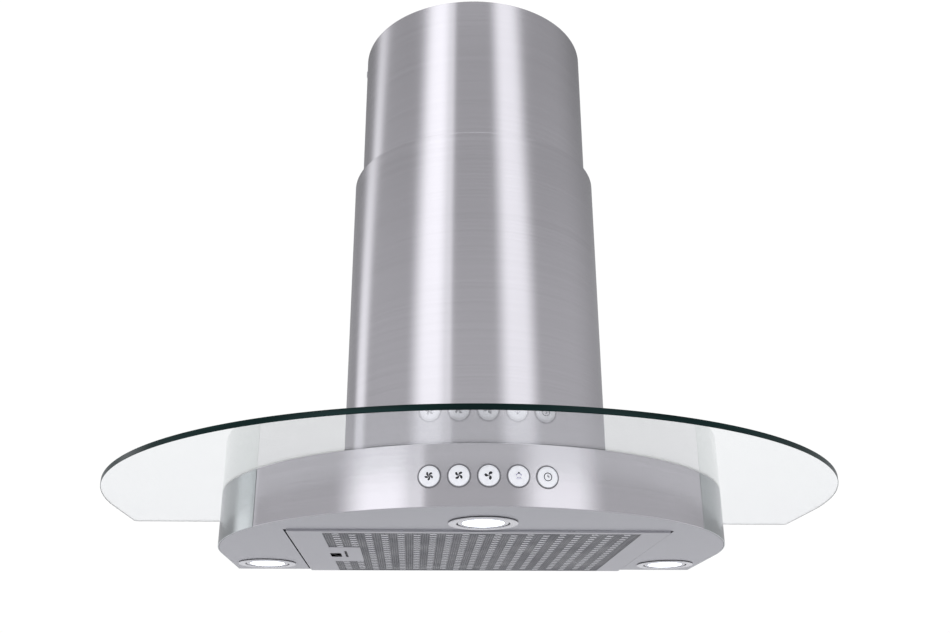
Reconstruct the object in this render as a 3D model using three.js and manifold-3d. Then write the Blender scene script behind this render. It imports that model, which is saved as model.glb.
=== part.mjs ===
// Island range hood. A slim steel body carries a D-shaped glass canopy and hangs
// from the ceiling on four telescoping rails, inside a round two-part chimney.
//
// Millimetres, +Z up, the buttons face -Y. The origin lies under the middle of the
// glass, level with the underside of the grease filter, which is the lowest face.

import * as THREE from "three";
import { mergeVertices } from "three/addons/utils/BufferGeometryUtils.js";
import Module from "manifold-3d";

const wasm = await Module();
wasm.setup();

// ---------------------------------------------------------------- dimensions

const GAP = 0.3; // clearance between pieces that touch
const SHEET = 1.2; // steel sheet
const BACK_Y = 276.5; // the glass and the body end in this plane
const CUT_MARGIN = 5; // how far a cutting tool runs past the face it cuts

// Facets round a full circle, or along one curve of an outline
const FINE = 48;
const MEDIUM = 24;
const COARSE = 12;

// Body: half round in front, straight sides, flat back
const BODY_R = 305;
const BODY_BOTTOM = 2;
const BODY_TOP = 64;
const BODY_CENTRE_Y = 141.5;
const FASCIA_HALF_ANGLE = 52; // degrees either side of straight ahead
const SEAM_ANGLE = 0.1; // degrees left open between the fascia and each side wrap
const TOP_PANEL_Z = 62.2;

// Glass canopy
const GLASS_R = 450;
const GLASS_CENTRE_Y = GLASS_R - BACK_Y;
const GLASS_Z = 64.5;
const GLASS_THICKNESS = 6;
const GLASS_HOLE_R = 140;
const GASKET_R = 170;

// Chimney
const AXIS_Y = 61.5;
const UPPER_TUBE_R = 146.4;
const UPPER_TUBE_BOTTOM = 200;
const LOWER_TUBE_R = 155.5;
const SEAM_Z = 460; // top of the lower tube
const CEILING_Z = 657.5;
const LIP_CLEARANCE = 0.8; // between the lower tube's lip and the upper tube
const BASE_RING_HEIGHT = 18;

// Telescoping rails: two nested angle sections in each corner
const RAIL_THICKNESS = 1.5;
const RAIL_LEG = 20;
const UPPER_RAIL_CORNER = 96;
const UPPER_RAIL_BOTTOM = 190;
const LOWER_RAIL_TOP = 400;
const HEIGHT_TRAVEL = 170;
const HEIGHT_SCREW_Z = 380;
const HEIGHT_SCREW_OFFSET = 85; // from the chimney axis, along the rail's leg
const HEIGHT_SLOT_CLEARANCE = 0.5;
const LOWER_RAIL_FOOT = 8;
const SCREW_R = 2;
const SCREW_HEAD_R = 4.5;
const SCREW_HEAD_HEIGHT = 2.2;
const CHIMNEY_SCREW_LENGTH = 9;

// Ceiling plate
const PLATE_HALF = 98;
const PLATE_THICKNESS = 1.5;
const PLATE_HOLE_R = 80;
const ANCHOR_OFFSET = 68;
const ANCHOR_R = 4;
const EAR_HALF = 8;
const EAR_X = 144.3;
const EAR_DROP = 26;

// Blower
const BOX_HALF = 91;
const BOX_TOP = 262;
const THROAT_HALF = 85;
const FAN_Y = 54.5;
const FAN_Z = 146;
const SCROLL_HALF_WIDTH = 45;
const SCROLL_WALL = 2;
const TONGUE_R = 64;
const SCROLL_GROWTH = 20;
const TONGUE_ANGLE = 100; // degrees, from +Y towards +Z
const OUTLET_HALF = 50;
const INLET_R = 48;
const FAN_R = 58;
const FAN_HALF_WIDTH = 38;
const BLADE_COUNT = 16;
const BLADE_CHORD = 10;
const BLADE_PITCH = 35; // degrees
const HUB_R = 12;
const MOTOR_R = 36;
const MOTOR_OUTER_X = -72;
const MOTOR_INNER_X = -8;
const SHAFT_R = 4;
const SHAFT_END_X = 18;

// Electrical parts on the motor box
const TERMINAL_BOX = { depth: 34, halfLength: 30, z0: 90, z1: 165 };
const GLAND = { bore: 4, flange: 13, body: 9, height: 15 };
const CAPACITOR = { radius: 16, standoff: 18, z0: 100, z1: 152 };

// Outlet collar and its non-return damper
const COLLAR_R = 75;
const COLLAR_WALL = 1.5;
const COLLAR_TOP = 322;
const COLLAR_FLANGE = 12;
const COLLAR_LIP = 1.2;
const DAMPER_Z = 292;
const PIN_R = 2;
const FLAP_R = 71;
const FLAP_HALF_THICKNESS = 0.6;
const REAR_KNUCKLES = [[-30, -5], [5, 30]];
const FRONT_KNUCKLES = [[-60, -35], [35, 60]];
const KNUCKLE_R = 3.5;

// Buttons
const BUTTON_COUNT = 5;
const BUTTON_PITCH = 29; // along the fascia
const BUTTON_Z = 31.8;
const BUTTON_R = 10.2;
const SLEEVE_R = 11.4;
const BUTTON_FRONT = 1.5; // how far a cap stands out of the fascia
const BUTTON_LENGTH = 18;
const BUTTON_CHAMFER = 0.8;
const SLEEVE_FRONT = 0.8; // how far the sleeves stand out of the fascia
const CARRIER_HALF_ANGLE = 15; // degrees
const CARRIER_DEPTH = 15; // behind the fascia's outer face
const BOARD_DEPTH = 24;
const BOARD_THICKNESS = 1.6;

// Lamps: flush spotlights, [name, x, y]
const LAMPS = [
  ["front", 0, -76.5],
  ["rear_left", -260, 221.5],
  ["rear_right", 260, 221.5],
];
const RING_R = 36.5;
const RING_INNER_R = 28;
const RING_BOTTOM = 0.4;
const LENS_R = 21.2;
const LAMP_SLEEVE_R = 32.4;
const LAMP_HOLE_R = 33;
const LAMP_SLEEVE_TOP = 9;
const LAMP_SLEEVE_WALL = 1.4;
const LAMP_TOP = 38;
const LAMP_TAPER = 14; // height of the can's cone
const LAMP_TOP_R = 22;
const RIM_DROP = 0.9; // how far the can's rim comes down inside the trim ring
const LED_DRIVER = { x0: 222, x1: 268, y0: 50, y1: 150, height: 24 };

// Grease filter cassette
const FILTER_HALF = 208;
const FILTER_FRONT = -31;
const FILTER_BACK = 274.7;
const FILTER_HEIGHT = 12;
const FACE_THICKNESS = 1;
const MESH_THICKNESS = 3;
const OPENING_HALF = 211;
const OPENING_FRONT = -34.5;
const RIM_WIDTH = 8;
const LUG_Y = [35, 205];
const LUG_HALF_LENGTH = 15;
const LUG_OVERLAP = 7; // beyond the edge of the body's opening
const LATCH_Y = 138;
const PULL_SLOT = { x0: -172.3, x1: -159.3, halfLength: 15 };
const LATCH_BAY = { halfLength: 26, beyondSlot: 14 };
const BOLT = { z0: 3.5, z1: 6.5, halfWidth: 10, overlap: 5 };
const POCKET = { wall: 1.8, roof: 1.2, clearance: 2 };

// ---------------------------------------------------------------- materials

const standard = (color, roughness, metalness) =>
  new THREE.MeshStandardMaterial({ color, roughness, metalness });

const brushedSteel = () => standard(0x9c999e, 0.35, 1);
const polishedSteel = () => standard(0xa4a9a6, 0.12, 1);
const galvanised = () => standard(0xb4b8ba, 0.5, 0.9);
const filterSteel = () => standard(0x76767a, 0.4, 1);
const aluminium = () => standard(0xc4c6c8, 0.45, 1);
const blackPlastic = () => standard(0x1b1b1e, 0.5, 0);
const buttonPlastic = () => standard(0xdcdae6, 0.3, 0);
const blackRubber = () => standard(0x151515, 0.9, 0);
const castMetal = () => standard(0x4c4f52, 0.6, 0.6);
const screwSteel = () => standard(0xc9cacc, 0.3, 1);
const circuitBoard = () => standard(0x1f5a35, 0.5, 0);
const lensGlass = () => standard(0xf6f5ff, 0.2, 0);

const canopyGlass = () => {
  const material = standard(0xa9c4bd, 0.05, 0);
  material.transparent = true;
  material.opacity = 0.35;
  return material;
};

// ------------------------------------------------------------ geometry tools

const radians = THREE.MathUtils.degToRad;

/** Turns a mesh that is inside out the right way round. */
function facingOut(geometry) {
  const { array } = geometry.attributes.position;
  const index = geometry.index.array;
  const [a, b, c] = [0, 1, 2].map(() => new THREE.Vector3());
  let volume = 0;
  for (let i = 0; i < index.length; i += 3) {
    a.fromArray(array, index[i] * 3);
    b.fromArray(array, index[i + 1] * 3);
    c.fromArray(array, index[i + 2] * 3);
    volume += a.dot(b.cross(c));
  }
  if (volume < 0) index.reverse();
  return geometry;
}

/** A geometry with its shared corners merged and its faces pointing out. */
function closed(geometry) {
  const bare = geometry.clone();
  bare.deleteAttribute("normal");
  bare.deleteAttribute("uv");
  const merged = facingOut(mergeVertices(bare, 1e-4));
  merged.computeVertexNormals();
  return merged;
}

function toSolid(geometry) {
  const merged = closed(geometry);
  return new wasm.Manifold(new wasm.Mesh({
    numProp: 3,
    vertProperties: new Float32Array(merged.attributes.position.array),
    triVerts: new Uint32Array(merged.index.array),
  }));
}

function toGeometry(solid) {
  const mesh = solid.getMesh();
  const geometry = new THREE.BufferGeometry();
  geometry.setAttribute("position", new THREE.BufferAttribute(mesh.vertProperties, 3));
  geometry.setIndex(new THREE.BufferAttribute(mesh.triVerts, 1));
  geometry.computeVertexNormals();
  return geometry;
}

const join = (...pieces) => toGeometry(pieces.map(toSolid).reduce((sum, next) => sum.add(next)));

const cut = (base, ...tools) =>
  toGeometry(tools.map(toSolid).reduce((rest, tool) => rest.subtract(tool), toSolid(base)));

/** A block between two opposite corners. */
function block([x0, y0, z0], [x1, y1, z1]) {
  const geometry = new THREE.BoxGeometry(x1 - x0, y1 - y0, z1 - z0);
  return geometry.translate((x0 + x1) / 2, (y0 + y1) / 2, (z0 + z1) / 2);
}

/** A flat outline raised from z0 to z1. */
function slab(shape, z0, z1, curveSegments = MEDIUM) {
  const options = { depth: z1 - z0, bevelEnabled: false, curveSegments };
  return new THREE.ExtrudeGeometry(shape, options).translate(0, 0, z0);
}

/** A closed profile of [radius, height] points turned about the Z axis. */
function turned(profile, segments = MEDIUM) {
  const points = profile.map(([radius, height]) => new THREE.Vector2(radius, height));
  const onAxis = profile[0][0] === 0;
  if (!onAxis) points.push(points[0].clone());
  return new THREE.LatheGeometry(points, segments).rotateX(Math.PI / 2);
}

const tube = (outer, inner, z0, z1, segments) =>
  turned([[inner, z0], [outer, z0], [outer, z1], [inner, z1]], segments);

const rod = (radius, z0, z1, segments = MEDIUM) =>
  turned([[0, z0], [radius, z0], [radius, z1], [0, z1]], segments);

/** The same geometry with its Z axis laid along +X. */
const alongX = (geometry) => geometry.rotateY(Math.PI / 2);

function addHole(shape, x, y, radius) {
  const hole = new THREE.Path();
  hole.absarc(x, y, radius, 0, 2 * Math.PI, true);
  shape.holes.push(hole);
}

function addSquareHole(shape, x, y, half) {
  const corners = [[-half, -half], [-half, half], [half, half], [half, -half]];
  shape.holes.push(new THREE.Path(corners.map(([dx, dy]) => new THREE.Vector2(x + dx, y + dy))));
}

/** Half round in front, straight sides, flat back. */
function dShape(radius, centreY, backY) {
  const shape = new THREE.Shape();
  shape.moveTo(-radius, backY);
  shape.lineTo(-radius, centreY);
  shape.absarc(0, centreY, radius, Math.PI, 2 * Math.PI, false);
  shape.lineTo(radius, backY);
  shape.closePath();
  return shape;
}

/** A curved wall about the body's centre, its angles in degrees from straight ahead. */
function wallSector(outer, inner, from, to) {
  const start = radians(from - 90);
  const end = radians(to - 90);
  const shape = new THREE.Shape();
  shape.absarc(0, BODY_CENTRE_Y, outer, start, end, false);
  shape.absarc(0, BODY_CENTRE_Y, inner, end, start, true);
  shape.closePath();
  return shape;
}

function piece(name, geometry, material) {
  const mesh = new THREE.Mesh(closed(geometry), material);
  mesh.name = name;
  return mesh;
}

function groupAt(x, y, z, ...children) {
  const group = new THREE.Group();
  group.position.set(x, y, z);
  group.add(...children);
  return group;
}

// -------------------------------------------------------------------- chimney

function upperChimney() {
  const shell = tube(UPPER_TUBE_R, UPPER_TUBE_R - SHEET, UPPER_TUBE_BOTTOM, CEILING_Z, FINE);
  const screwHoles = alongX(rod(SCREW_R + GAP, -UPPER_TUBE_R * 1.1, UPPER_TUBE_R * 1.1, COARSE));
  screwHoles.translate(0, 0, CEILING_Z - EAR_DROP / 2);
  return piece("upper_chimney", cut(shell, screwHoles), brushedSteel());
}

/** The lower tube stands on the glass; a turned-in lip at its top rides on the upper tube. */
function lowerChimney() {
  const foot = GLASS_Z + GLASS_THICKNESS + GAP;
  const lip = UPPER_TUBE_R + LIP_CLEARANCE;
  const inner = LOWER_TUBE_R - SHEET;
  const profile = [
    [inner, foot],
    [LOWER_TUBE_R, foot],
    [LOWER_TUBE_R, SEAM_Z],
    [lip, SEAM_Z],
    [lip, SEAM_Z - SHEET],
    [inner, SEAM_Z - SHEET],
  ];
  return piece("lower_chimney", turned(profile, FINE), brushedSteel());
}

/** An angle ring on the glass that keeps the lower tube centred. */
function chimneyBaseRing() {
  const floor = GLASS_Z + GLASS_THICKNESS + GAP;
  const outer = LOWER_TUBE_R - SHEET - 4 * GAP;
  const inner = GLASS_HOLE_R + 2;
  const profile = [
    [inner, floor],
    [outer, floor],
    [outer, floor + BASE_RING_HEIGHT],
    [outer - RAIL_THICKNESS, floor + BASE_RING_HEIGHT],
    [outer - RAIL_THICKNESS, floor + RAIL_THICKNESS],
    [inner, floor + RAIL_THICKNESS],
  ];
  return piece("chimney_base_ring", turned(profile, 32), galvanised());
}

/** Round-headed screw along +X: its head's underside is at x = 0, its tip at x = -length. */
function screwGeometry(length, nut = []) {
  const shank = nut.length ? nut : [[0, -length], [SCREW_R, -length]];
  const head = [
    [SCREW_R, 0], [SCREW_HEAD_R, 0], [SCREW_HEAD_R * 0.75, SCREW_HEAD_HEIGHT], [0, SCREW_HEAD_HEIGHT],
  ];
  return alongX(turned([...shank, ...head], COARSE));
}

/** Screw that holds the upper tube to an ear of the ceiling plate. */
function chimneyScrew(side, turn) {
  const screw = piece(`chimney_screw_${side}`, screwGeometry(CHIMNEY_SCREW_LENGTH), screwSteel());
  screw.position.x = UPPER_TUBE_R + GAP;
  const arm = groupAt(0, 0, CEILING_Z - EAR_DROP / 2, screw);
  arm.rotation.z = turn;
  return arm;
}

// -------------------------------------------------------------- ceiling frame

function ceilingPlate() {
  const outline = new THREE.Shape();
  const arm = EAR_X - RAIL_THICKNESS;
  const corners = [
    [PLATE_HALF, -PLATE_HALF], [PLATE_HALF, -EAR_HALF], [arm, -EAR_HALF],
    [arm, EAR_HALF], [PLATE_HALF, EAR_HALF], [PLATE_HALF, PLATE_HALF],
    [-PLATE_HALF, PLATE_HALF], [-PLATE_HALF, EAR_HALF], [-arm, EAR_HALF],
    [-arm, -EAR_HALF], [-PLATE_HALF, -EAR_HALF], [-PLATE_HALF, -PLATE_HALF],
  ];
  outline.setFromPoints(corners.map(([x, y]) => new THREE.Vector2(x, y)));
  addHole(outline, 0, 0, PLATE_HOLE_R);
  for (const sideX of [-1, 1]) {
    for (const sideY of [-1, 1]) addHole(outline, sideX * ANCHOR_OFFSET, sideY * ANCHOR_OFFSET, ANCHOR_R);
  }
  const plate = slab(outline, CEILING_Z - PLATE_THICKNESS, CEILING_Z, 20);
  const ears = [-1, 1].map((side) => {
    const [near, far] = [side * arm, side * EAR_X].sort((a, b) => a - b);
    return block([near, -EAR_HALF, CEILING_Z - EAR_DROP], [far, EAR_HALF, CEILING_Z]);
  });
  const screwHoles = alongX(rod(SCREW_R + GAP, -EAR_X * 1.1, EAR_X * 1.1, COARSE));
  screwHoles.translate(0, 0, CEILING_Z - EAR_DROP / 2);
  return piece("ceiling_plate", cut(join(plate, ...ears), screwHoles), galvanised());
}

/** Angle section in the (+X, +Y) corner, seen from above. */
function angleSection(corner, z0, z1) {
  const inner = corner - RAIL_THICKNESS;
  const end = corner - RAIL_LEG;
  const outline = [[end, inner], [inner, inner], [inner, end], [corner, end], [corner, corner], [end, corner]];
  return slab(new THREE.Shape(outline.map(([x, y]) => new THREE.Vector2(x, y))), z0, z1);
}

/** Upper rail: a foot under the ceiling plate and a slot that the height screw runs in. */
function upperRail(name) {
  const top = CEILING_Z - PLATE_THICKNESS - GAP;
  const inner = UPPER_RAIL_CORNER - RAIL_THICKNESS;
  const end = UPPER_RAIL_CORNER - RAIL_LEG;
  const angle = angleSection(UPPER_RAIL_CORNER, UPPER_RAIL_BOTTOM, top);
  const foot = block([end, end, top - RAIL_THICKNESS], [inner + GAP, inner + GAP, top]);
  const slotHalf = SCREW_R + HEIGHT_SLOT_CLEARANCE;
  const slot = block(
    [inner - CUT_MARGIN, HEIGHT_SCREW_OFFSET - slotHalf, HEIGHT_SCREW_Z - HEIGHT_TRAVEL - CUT_MARGIN],
    [UPPER_RAIL_CORNER + CUT_MARGIN, HEIGHT_SCREW_OFFSET + slotHalf, HEIGHT_SCREW_Z + CUT_MARGIN],
  );
  return piece(name, cut(join(angle, foot), slot), galvanised());
}

/** Lower rail: nests inside the upper one and stands on the body's top panel. */
function lowerRail(name) {
  const corner = UPPER_RAIL_CORNER - RAIL_THICKNESS - GAP;
  const bottom = TOP_PANEL_Z + SHEET + GAP;
  const angle = angleSection(corner, bottom, LOWER_RAIL_TOP);
  const foot = block(
    [corner - RAIL_THICKNESS / 2, corner - RAIL_LEG, bottom],
    [corner + LOWER_RAIL_FOOT, corner, bottom + RAIL_THICKNESS],
  );
  const hole = alongX(rod(SCREW_R + GAP, corner - CUT_MARGIN, corner + CUT_MARGIN, COARSE));
  hole.translate(0, HEIGHT_SCREW_OFFSET, HEIGHT_SCREW_Z);
  return piece(name, cut(join(angle, foot), hole), galvanised());
}

/** Height screw: its head bears on the upper rail and its nut on the lower rail. */
function heightScrew(name) {
  const stack = 2 * (RAIL_THICKNESS + GAP) + GAP;
  const tip = stack + 3;
  const nut = [[0, -tip], [2 * SCREW_R, -tip], [2 * SCREW_R, -stack], [SCREW_R, -stack]];
  const screw = piece(name, screwGeometry(tip, nut), screwSteel());
  screw.position.set(UPPER_RAIL_CORNER + GAP, HEIGHT_SCREW_OFFSET, HEIGHT_SCREW_Z);
  return screw;
}

const CORNERS = ["back_right", "back_left", "front_left", "front_right"];

/** One child per corner of the frame, each turned a quarter round the chimney axis. */
function inEachCorner(...builders) {
  return CORNERS.map((corner, quarter) => {
    const group = groupAt(0, 0, 0, ...builders.map((build) => build(corner)));
    group.rotation.z = quarter * Math.PI / 2;
    return group;
  });
}

// ----------------------------------------------------------------------- body

function glassCanopy() {
  const shape = dShape(GLASS_R, GLASS_CENTRE_Y, BACK_Y);
  addHole(shape, 0, AXIS_Y, GLASS_HOLE_R);
  return piece("glass_canopy", slab(shape, GLASS_Z, GLASS_Z + GLASS_THICKNESS, 36), canopyGlass());
}

/** Soft ring between the body and the glass, round the chimney hole. */
function glassGasket() {
  const ring = tube(GASKET_R, GLASS_HOLE_R + 1, TOP_PANEL_Z + SHEET + GAP, GLASS_Z - GAP, 32);
  const gasket = piece("glass_gasket", ring, blackRubber());
  gasket.position.y = AXIS_Y;
  return gasket;
}

const buttonAngle = (i) => (i - (BUTTON_COUNT - 1) / 2) * BUTTON_PITCH / BODY_R;
const buttonNumbers = [...Array(BUTTON_COUNT).keys()];

/** A rod pointing out of the fascia at one button, between two distances from its centre. */
function buttonRod(i, radius, from, to) {
  const geometry = rod(radius, from, to, 16).rotateX(Math.PI / 2);
  return geometry.rotateZ(buttonAngle(i)).translate(0, BODY_CENTRE_Y, BUTTON_Z);
}

function fascia() {
  const half = FASCIA_HALF_ANGLE - SEAM_ANGLE / 2;
  const wall = slab(wallSector(BODY_R, BODY_R - SHEET, -half, half), BODY_BOTTOM, BODY_TOP, 26);
  const holes = buttonNumbers.map((i) =>
    buttonRod(i, SLEEVE_R + GAP, BODY_R - CUT_MARGIN, BODY_R + CUT_MARGIN));
  return piece("fascia", cut(wall, ...holes), brushedSteel());
}

/** Side wrap: the rest of the round front, then straight to the back. */
function sideWrap(side, mirror) {
  const start = radians(FASCIA_HALF_ANGLE + SEAM_ANGLE / 2 - 90);
  const inner = BODY_R - SHEET;
  const shape = new THREE.Shape();
  shape.absarc(0, BODY_CENTRE_Y, BODY_R, start, 0, false);
  shape.lineTo(BODY_R, BACK_Y);
  shape.lineTo(inner, BACK_Y);
  shape.absarc(0, BODY_CENTRE_Y, inner, 0, start, true);
  shape.closePath();
  const wall = slab(shape, BODY_BOTTOM, BODY_TOP, 12).scale(mirror, 1, 1);
  return piece(`side_wrap_${side}`, wall, polishedSteel());
}

function backPanel() {
  const half = BODY_R - SHEET - GAP;
  const panel = block([-half, BACK_Y - SHEET, BODY_BOTTOM], [half, BACK_Y, BODY_TOP]);
  return piece("back_panel", panel, brushedSteel());
}

function topPanel() {
  const inset = SHEET + GAP;
  const shape = dShape(BODY_R - inset, BODY_CENTRE_Y, BACK_Y - inset);
  addSquareHole(shape, 0, AXIS_Y, THROAT_HALF);
  return piece("top_panel", slab(shape, TOP_PANEL_Z, TOP_PANEL_Z + SHEET), galvanised());
}

/** Underside: three lamp holes, and a filter opening that runs out to the back panel. */
function bottomPanel() {
  const inset = SHEET + GAP;
  const radius = BODY_R - inset;
  const back = BACK_Y - inset;
  const shape = new THREE.Shape();
  shape.moveTo(-radius, back);
  shape.lineTo(-radius, BODY_CENTRE_Y);
  shape.absarc(0, BODY_CENTRE_Y, radius, Math.PI, 2 * Math.PI, false);
  shape.lineTo(radius, back);
  shape.lineTo(OPENING_HALF, back);
  shape.lineTo(OPENING_HALF, OPENING_FRONT);
  shape.lineTo(-OPENING_HALF, OPENING_FRONT);
  shape.lineTo(-OPENING_HALF, back);
  shape.closePath();
  for (const [, x, y] of LAMPS) addHole(shape, x, y, LAMP_HOLE_R);
  return piece("bottom_panel", slab(shape, BODY_BOTTOM, BODY_BOTTOM + SHEET), brushedSteel());
}

// -------------------------------------------------------------------- buttons

/** Moulding behind the fascia: its five sleeves come through the holes round the caps. */
function switchCarrier() {
  const bodyBack = BODY_R - CARRIER_DEPTH;
  const bodyFront = BODY_R - SHEET - 2 * GAP;
  const sector = wallSector(bodyFront, bodyBack, -CARRIER_HALF_ANGLE, CARRIER_HALF_ANGLE);
  const body = slab(sector, BUTTON_Z - 15, BUTTON_Z + 13, COARSE);
  const sleeves = buttonNumbers.map((i) =>
    buttonRod(i, SLEEVE_R, bodyFront - CUT_MARGIN, BODY_R + SLEEVE_FRONT));
  const bores = buttonNumbers.map((i) =>
    buttonRod(i, BUTTON_R + GAP, bodyBack - CUT_MARGIN, BODY_R + CUT_MARGIN));
  return piece("switch_carrier", cut(join(body, ...sleeves), ...bores), blackPlastic());
}

function switchBoard() {
  const front = BODY_R - BOARD_DEPTH;
  const back = front - BOARD_THICKNESS;
  const sector = wallSector(front, back, -CARRIER_HALF_ANGLE, CARRIER_HALF_ANGLE);
  return piece("switch_board", slab(sector, BUTTON_Z - 13, BUTTON_Z + 11, COARSE), circuitBoard());
}

/** Push button with a softly domed face. */
function button(i) {
  const tip = BODY_R + BUTTON_FRONT;
  const profile = [
    [0, tip - BUTTON_LENGTH], [BUTTON_R, tip - BUTTON_LENGTH],
    [BUTTON_R, tip - BUTTON_CHAMFER], [BUTTON_R - BUTTON_CHAMFER, tip], [0, tip],
  ];
  const cap = piece(`button_${i + 1}`, turned(profile, 16).rotateX(Math.PI / 2), buttonPlastic());
  cap.rotation.z = buttonAngle(i);
  return groupAt(0, BODY_CENTRE_Y, BUTTON_Z, cap);
}

// ---------------------------------------------------------------------- lamps

function trimRing(name) {
  const panelBottom = BODY_BOTTOM - GAP;
  const profile = [
    [RING_INNER_R, RING_BOTTOM],
    [RING_R, RING_BOTTOM],
    [RING_R, panelBottom],
    [LAMP_SLEEVE_R, panelBottom],
    [LAMP_SLEEVE_R, LAMP_SLEEVE_TOP],
    [LAMP_SLEEVE_R - LAMP_SLEEVE_WALL, LAMP_SLEEVE_TOP],
    [LAMP_SLEEVE_R - LAMP_SLEEVE_WALL, panelBottom],
    [RING_INNER_R, panelBottom],
  ];
  return piece(`trim_ring_${name}`, turned(profile), polishedSteel());
}

/** Lens that looks through the housing's rim, its wider foot resting on the rim's inside. */
function lampLens(name) {
  const rimTop = BODY_BOTTOM + 0.5;
  const profile = [
    [0, RING_BOTTOM + 0.5],
    [LENS_R, RING_BOTTOM + 0.5],
    [LENS_R, rimTop + GAP],
    [LENS_R + 3, rimTop + GAP],
    [LENS_R + 3, rimTop + 2],
    [0, rimTop + 2],
  ];
  return piece(`lamp_lens_${name}`, turned(profile), lensGlass());
}

/** Lamp can with a flat rim set back inside the trim ring. */
function lampHousing(name) {
  const outer = LAMP_SLEEVE_R - LAMP_SLEEVE_WALL - GAP;
  const rimOuter = RING_INNER_R - GAP;
  const rimInner = LENS_R + GAP;
  const shelf = BODY_BOTTOM + 0.2;
  const rim = shelf - RIM_DROP;
  const wall = 1.5;
  const profile = [
    [0, LAMP_TOP], [LAMP_TOP_R, LAMP_TOP], [outer, LAMP_TOP - LAMP_TAPER], [outer, shelf],
    [rimOuter, shelf], [rimOuter, rim], [rimInner, rim], [rimInner, shelf + 0.1],
    [outer - wall, shelf + 1.2], [outer - wall, LAMP_TOP - LAMP_TAPER - 1],
    [LAMP_TOP_R - 1, LAMP_TOP - 2], [0, LAMP_TOP - 2],
  ];
  return piece(`lamp_housing_${name}`, turned(profile, 20), aluminium());
}

const lamp = ([name, x, y]) => groupAt(x, y, 0, trimRing(name), lampLens(name), lampHousing(name));

function ledDriver() {
  const { x0, x1, y0, y1, height } = LED_DRIVER;
  const floor = BODY_BOTTOM + SHEET + GAP;
  return piece("led_driver", block([x0, y0, floor], [x1, y1, floor + height]), blackPlastic());
}

// --------------------------------------------------------------------- blower

/** Sheet box round the blower, open below to the throat in the top panel. */
function motorBox() {
  const bottom = TOP_PANEL_Z + SHEET + GAP;
  const inner = BOX_HALF - SHEET;
  const shell = block([-BOX_HALF, -BOX_HALF, bottom], [BOX_HALF, BOX_HALF, BOX_TOP]);
  const inside = block([-inner, -inner, bottom - CUT_MARGIN], [inner, inner, BOX_TOP - SHEET]);
  const outlet = rod(COLLAR_R - COLLAR_WALL, BOX_TOP - CUT_MARGIN, BOX_TOP + CUT_MARGIN, 32);
  return piece("motor_box", cut(shell, inside, outlet), galvanised());
}

/** Scroll outline in the YZ plane about the fan's axis, grown outwards by the given wall. */
function scrollShape(wall, top) {
  const steps = 24;
  const shape = new THREE.Shape();
  const outletMiddle = AXIS_Y - FAN_Y;
  shape.moveTo(outletMiddle - OUTLET_HALF - wall, top);
  for (let step = 0; step <= steps; step += 1) {
    const turn = step / steps;
    const angle = radians(TONGUE_ANGLE + turn * (360 - TONGUE_ANGLE));
    const radius = TONGUE_R + SCROLL_GROWTH * turn + wall;
    shape.lineTo(radius * Math.cos(angle), radius * Math.sin(angle));
  }
  shape.lineTo(outletMiddle + OUTLET_HALF + wall, top);
  shape.closePath();
  return shape;
}

/** Lays an outline drawn in (y, z) across X, centred on the fan. */
const acrossX = (geometry) => geometry.rotateX(Math.PI / 2).rotateZ(Math.PI / 2);

function scrollHousing() {
  const top = BOX_TOP - SHEET - 2 - FAN_Z;
  const innerHalf = SCROLL_HALF_WIDTH - SCROLL_WALL;
  const outside = acrossX(slab(scrollShape(SCROLL_WALL, top), -SCROLL_HALF_WIDTH, SCROLL_HALF_WIDTH));
  const inside = acrossX(slab(scrollShape(0, top + CUT_MARGIN), -innerHalf, innerHalf));
  const inlets = alongX(rod(INLET_R, -SCROLL_HALF_WIDTH * 2, SCROLL_HALF_WIDTH * 2));
  return piece("scroll_housing", cut(outside, inside, inlets), blackPlastic());
}

/** Double-inlet drum fan. */
function impeller() {
  const bladeEnd = FAN_HALF_WIDTH - 1;
  const rings = [-1, 1].map((side) =>
    tube(FAN_R, FAN_R - BLADE_CHORD - 1, side * bladeEnd - 1, side * bladeEnd + 1));
  const web = rod(FAN_R - 0.5, -1, 1);
  const hub = rod(HUB_R, -6, 14, COARSE);
  const blades = [...Array(BLADE_COUNT).keys()].map((i) => {
    const blade = block([-BLADE_CHORD / 2, -0.5, -bladeEnd], [BLADE_CHORD / 2, 0.5, bladeEnd]);
    blade.rotateZ(radians(BLADE_PITCH)).translate(FAN_R - BLADE_CHORD / 2 - 1, 0, 0);
    return blade.rotateZ(i * 2 * Math.PI / BLADE_COUNT);
  });
  const bore = rod(SHAFT_R + GAP, -FAN_HALF_WIDTH, FAN_HALF_WIDTH, COARSE);
  return piece("impeller", alongX(cut(join(web, hub, ...rings, ...blades), bore)), aluminium());
}

function motor() {
  const bevel = 4;
  const profile = [
    [0, MOTOR_OUTER_X], [MOTOR_R - bevel, MOTOR_OUTER_X], [MOTOR_R, MOTOR_OUTER_X + bevel],
    [MOTOR_R, MOTOR_INNER_X - bevel], [MOTOR_R - bevel, MOTOR_INNER_X], [SHAFT_R, MOTOR_INNER_X],
    [SHAFT_R, SHAFT_END_X], [0, SHAFT_END_X],
  ];
  return piece("motor", alongX(turned(profile)), castMetal());
}

/** Three-armed spider that carries the motor in the left inlet. */
function motorBracket() {
  const outer = -SCROLL_HALF_WIDTH - GAP;
  const inner = outer - 2.5;
  const ring = tube(MOTOR_R + 5, MOTOR_R + GAP, inner, outer);
  const arms = [0, 1, 2].map((i) => {
    const arm = block([MOTOR_R + 3, -5, inner], [INLET_R + 10, 5, outer]);
    return arm.rotateZ(i * 2 * Math.PI / 3);
  });
  return piece("motor_bracket", alongX(join(ring, ...arms)), galvanised());
}

function terminalBox() {
  const { depth, halfLength, z0, z1 } = TERMINAL_BOX;
  const left = BOX_HALF + GAP;
  const box = block([left, -halfLength, z0], [left + depth, halfLength, z1]);
  return piece("terminal_box", box, blackPlastic());
}

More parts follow.
